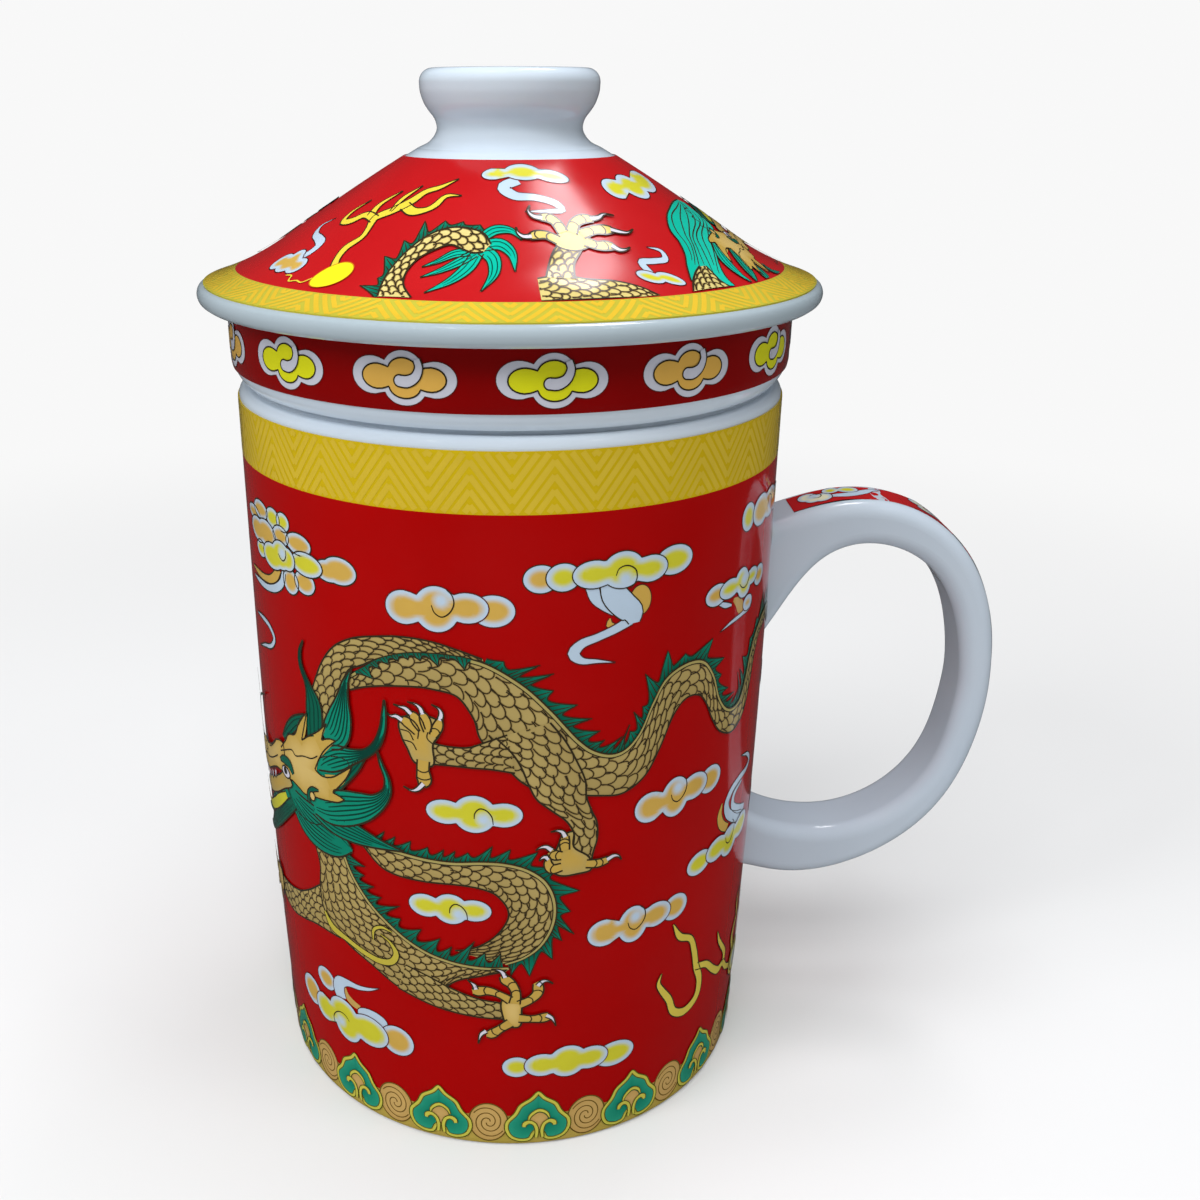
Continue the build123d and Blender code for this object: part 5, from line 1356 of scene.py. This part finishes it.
def strip_clouds(p):
    """Clouds along the strip, their pale margins at its edges."""
    p.cloud([(2.9, 0.9, 1.5, 1.7), (4.9, -0.5, 1.5, 1.8), (3.6, -0.6, 1.3, 1.3)], "strip_pale", 2,
            soft=(0.3, 0.8), swirl=[(3.3, 1.4), (4.4, 1.6), (5, 0.6), (4.4, -0.3), (3.6, 0.1)])
    p.ribbon([(6.2, -0.6, 1.2), (8.6, -0.9, 1.9), (11, 0.3, 1.8), (12.8, 1.8, 1.0),
              (14.6, 2.7, 0.2)], "white", 1, rim=0.14, line="maroon", across=4)
    p.cloud([(6.6, 1.8, 1.3, 1.3), (9.2, 1.6, 1.6, 1.4)], "yellow", 2, soft=(0.3, 0.9))
    p.cloud([(20.4, 1.6, 1.6, 1.5), (22.4, 0.2, 1.7, 1.7), (21, -0.9, 1.4, 1.3)], "strip_pale", 2,
            soft=(0.35, 0.9), swirl=[(22.9, 1), (22, 1.5), (21.2, 0.7), (21.6, -0.2), (22.5, -0.1)])
    p.cloud([(28.6, 2, 1.9, 1.1), (31.2, 1.1, 1.9, 1.4), (33.6, -0.2, 1.8, 1.5),
             (35.4, -1, 1.2, 1)], "yellow", 2, soft=(0.35, 0.9))
    p.cloud([(45.5, 2, 2, 1.3), (48.2, 1.1, 1.8, 1.5)], "strip_pale", 2, soft=(0.35, 0.9))
    p.cloud([(56, -1.4, 1.8, 1.4), (58.6, -0.6, 2, 1.6), (61, -1.2, 1.6, 1.3)], "yellow", 2,
            soft=(0.35, 0.9), swirl=[(57.6, -0.9), (58, 0.1), (59.1, 0.2), (59.7, -0.7),
        (59.2, -1.6)])
    p.cloud([(68, 1.4, 1.8, 1.4), (70.6, 0.8, 1.9, 1.6)], "peach", 2, soft=(0.35, 0.9))
    p.ribbon([(71, 0.4, 1.6), (73.6, -0.8, 1.2), (76, -1.2, 0.2)], "white", 1, rim=0.14,
             line="maroon")


strip_ground()
art = Painting(41)
strip_clouds(art)
laid("handle_clouds", art, on_strip, "mug")

# ---------------------------------------------------------------- floor, light and camera

ROOM_LIGHT, BACKGROUND, MIRRORED_ROOM = 0.20, 0.94, 0.03
FLOOR_R, FLOOR_SIDES, FLOOR_DROP = 4, 128, 0.00005       # in metres, just under the foot
NEAR, FAR, NEAR_SHARE, FAR_SHARE = 0.1, 0.42, 0.12, 1.0  # where the floor turns to background


def by_ray(tree, rays, base):
    """A level that is the base for ordinary light, and another for each kind of ray named."""
    path = node(tree, "LightPath")
    level = base
    for ray, value in rays.items():
        level = node(tree, "Math", {0: path.outputs[ray], 1: value - base, 2: level},
                     operation="MULTIPLY_ADD").outputs[0]
    return level


def stage():
    """A plain pale floor that keeps the object's soft shadow, in a pale room."""
    material, tree, shader = nodes_of("pale_floor")
    for name, value in (("Base Color", (0.72, 0.72, 0.72, 1)), ("Roughness", 0.9),
                        ("Specular IOR Level", 0.1)):
        shader.inputs[name].default_value = value
    lit = node(tree, "Emission", {"Color": (1, 1, 1, 1), "Strength": by_ray(
        tree, {"Is Camera Ray": BACKGROUND}, MIRRORED_ROOM)})
    # the floor's own share of the background grows with the distance from the object
    far = node(tree, "VectorMath", {0: node(tree, "TexCoord").outputs["Object"]},
               operation="LENGTH")
    span = node(tree, "MapRange", {"Value": far.outputs["Value"], "From Min": NEAR,
                                   "From Max": FAR, "To Min": NEAR_SHARE, "To Max": FAR_SHARE},
                interpolation_type="SMOOTHSTEP")
    seen = node(tree, "Math", {0: by_ray(tree, {"Is Camera Ray": 1.0}, 0.0),
                               1: span.outputs["Result"]}, operation="MULTIPLY")
    share = node(tree, "Math", {0: seen.outputs[0],
                                1: by_ray(tree, {"Is Glossy Ray": 0.95}, 0.0)}, operation="ADD")
    mix = node(tree, "MixShader", {"Fac": share.outputs[0], 1: shader.outputs["BSDF"],
                                   2: lit.outputs["Emission"]})
    tree.links.new(mix.outputs["Shader"], tree.nodes["Material Output"].inputs["Surface"])
    mesh = bpy.data.meshes.new("floor")
    rim = np.column_stack([disc((0, 0), FLOOR_R, FLOOR_SIDES), np.zeros(FLOOR_SIDES)])
    mesh.from_pydata([*rim.tolist(), (0, 0, 0)], [], [(i, (i + 1) % FLOOR_SIDES, FLOOR_SIDES)
                                                      for i in range(FLOOR_SIDES)])
    mesh.materials.append(material)
    floor = bpy.data.objects.new("floor", mesh)
    floor.location = (0, 0, -FLOOR_DROP)
    bpy.context.scene.collection.objects.link(floor)

    world = bpy.data.worlds.new("room")
    bpy.context.scene.world = world
    world.use_nodes = True
    room = world.node_tree.nodes["Background"]
    room.inputs["Color"].default_value = (1, 1, 1, 1)
    level = by_ray(world.node_tree, {"Is Camera Ray": BACKGROUND,
                                     "Is Glossy Ray": MIRRORED_ROOM}, ROOM_LIGHT)
    world.node_tree.links.new(level, room.inputs["Strength"])


def lamp(name, place, aim, size, power, colour=(1, 1, 1), mirrored=False):
    """A rectangular soft lamp at a place, turned towards a point; mirrored says whether the glaze
    shows it."""
    data = bpy.data.lights.new(name, "AREA")
    data.shape = "RECTANGLE"
    data.size, data.size_y = size
    data.energy = power
    data.color = colour
    rig = bpy.data.objects.new(name, data)
    way = np.array(aim, float) - np.array(place, float)
    flat = math.hypot(way[0], way[1])
    rig.location = place
    rig.rotation_euler = Euler((math.atan2(flat, -way[2]), 0,
                                math.atan2(way[1], way[0]) - math.pi / 2))
    rig.visible_glossy = mirrored
    bpy.context.scene.collection.objects.link(rig)


stage()
lamp("overhead", (0.0, -0.05, 0.9), (0, 0, 0.1), (0.6, 0.4), 3.8, (0.95, 1.0, 1.03))
lamp("front_high", (-0.1, -0.55, 0.85), (0, 0, 0.07), (0.6, 0.3), 4.4)
lamp("left_key", (-0.62, -0.42, 0.62), (0, 0, 0.07), (0.3, 0.3), 3.3)
lamp("right_fill", (0.75, -0.3, 0.6), (0, 0, 0.07), (0.3, 0.5), 1.2)
lamp("lid_softbox", (0.13, 0.19, 0.62), (0, 0, 0.13), (0.13, 0.13), 0.55, (1.0, 0.93, 0.97), True)
for x, y in ((-0.5, -0.57), (0.54, -0.52), (-0.2, -0.1)):
    lamp("ceiling_lamp", (x, y, 1.0), (0, 0, 0.1), (0.1, 0.03), 0.16, mirrored=True)

# the camera: its sensor's width in millimetres, then the side of the picture, the focal length
# and the optical centre in pixels
SENSOR, SIDE, FOCAL, CENTRE_X, CENTRE_Y = 36.0, 1200, 1291.929, 518.084, 604.094
camera = bpy.data.objects.new("camera", bpy.data.cameras.new("camera"))
camera.data.sensor_width = SENSOR
camera.data.lens = SENSOR * FOCAL / SIDE
camera.data.shift_x = (SIDE / 2 - CENTRE_X) / SIDE
camera.data.shift_y = (CENTRE_Y - SIDE / 2) / SIDE
camera.data.clip_start = 0.01
camera.location = (0, -0.188187, 0.147087)
camera.rotation_euler = Euler((math.pi / 2 - 0.377, 0, -0.006))
bpy.context.scene.collection.objects.link(camera)
bpy.context.scene.camera = camera
bpy.context.scene.view_settings.view_transform = "Standard"
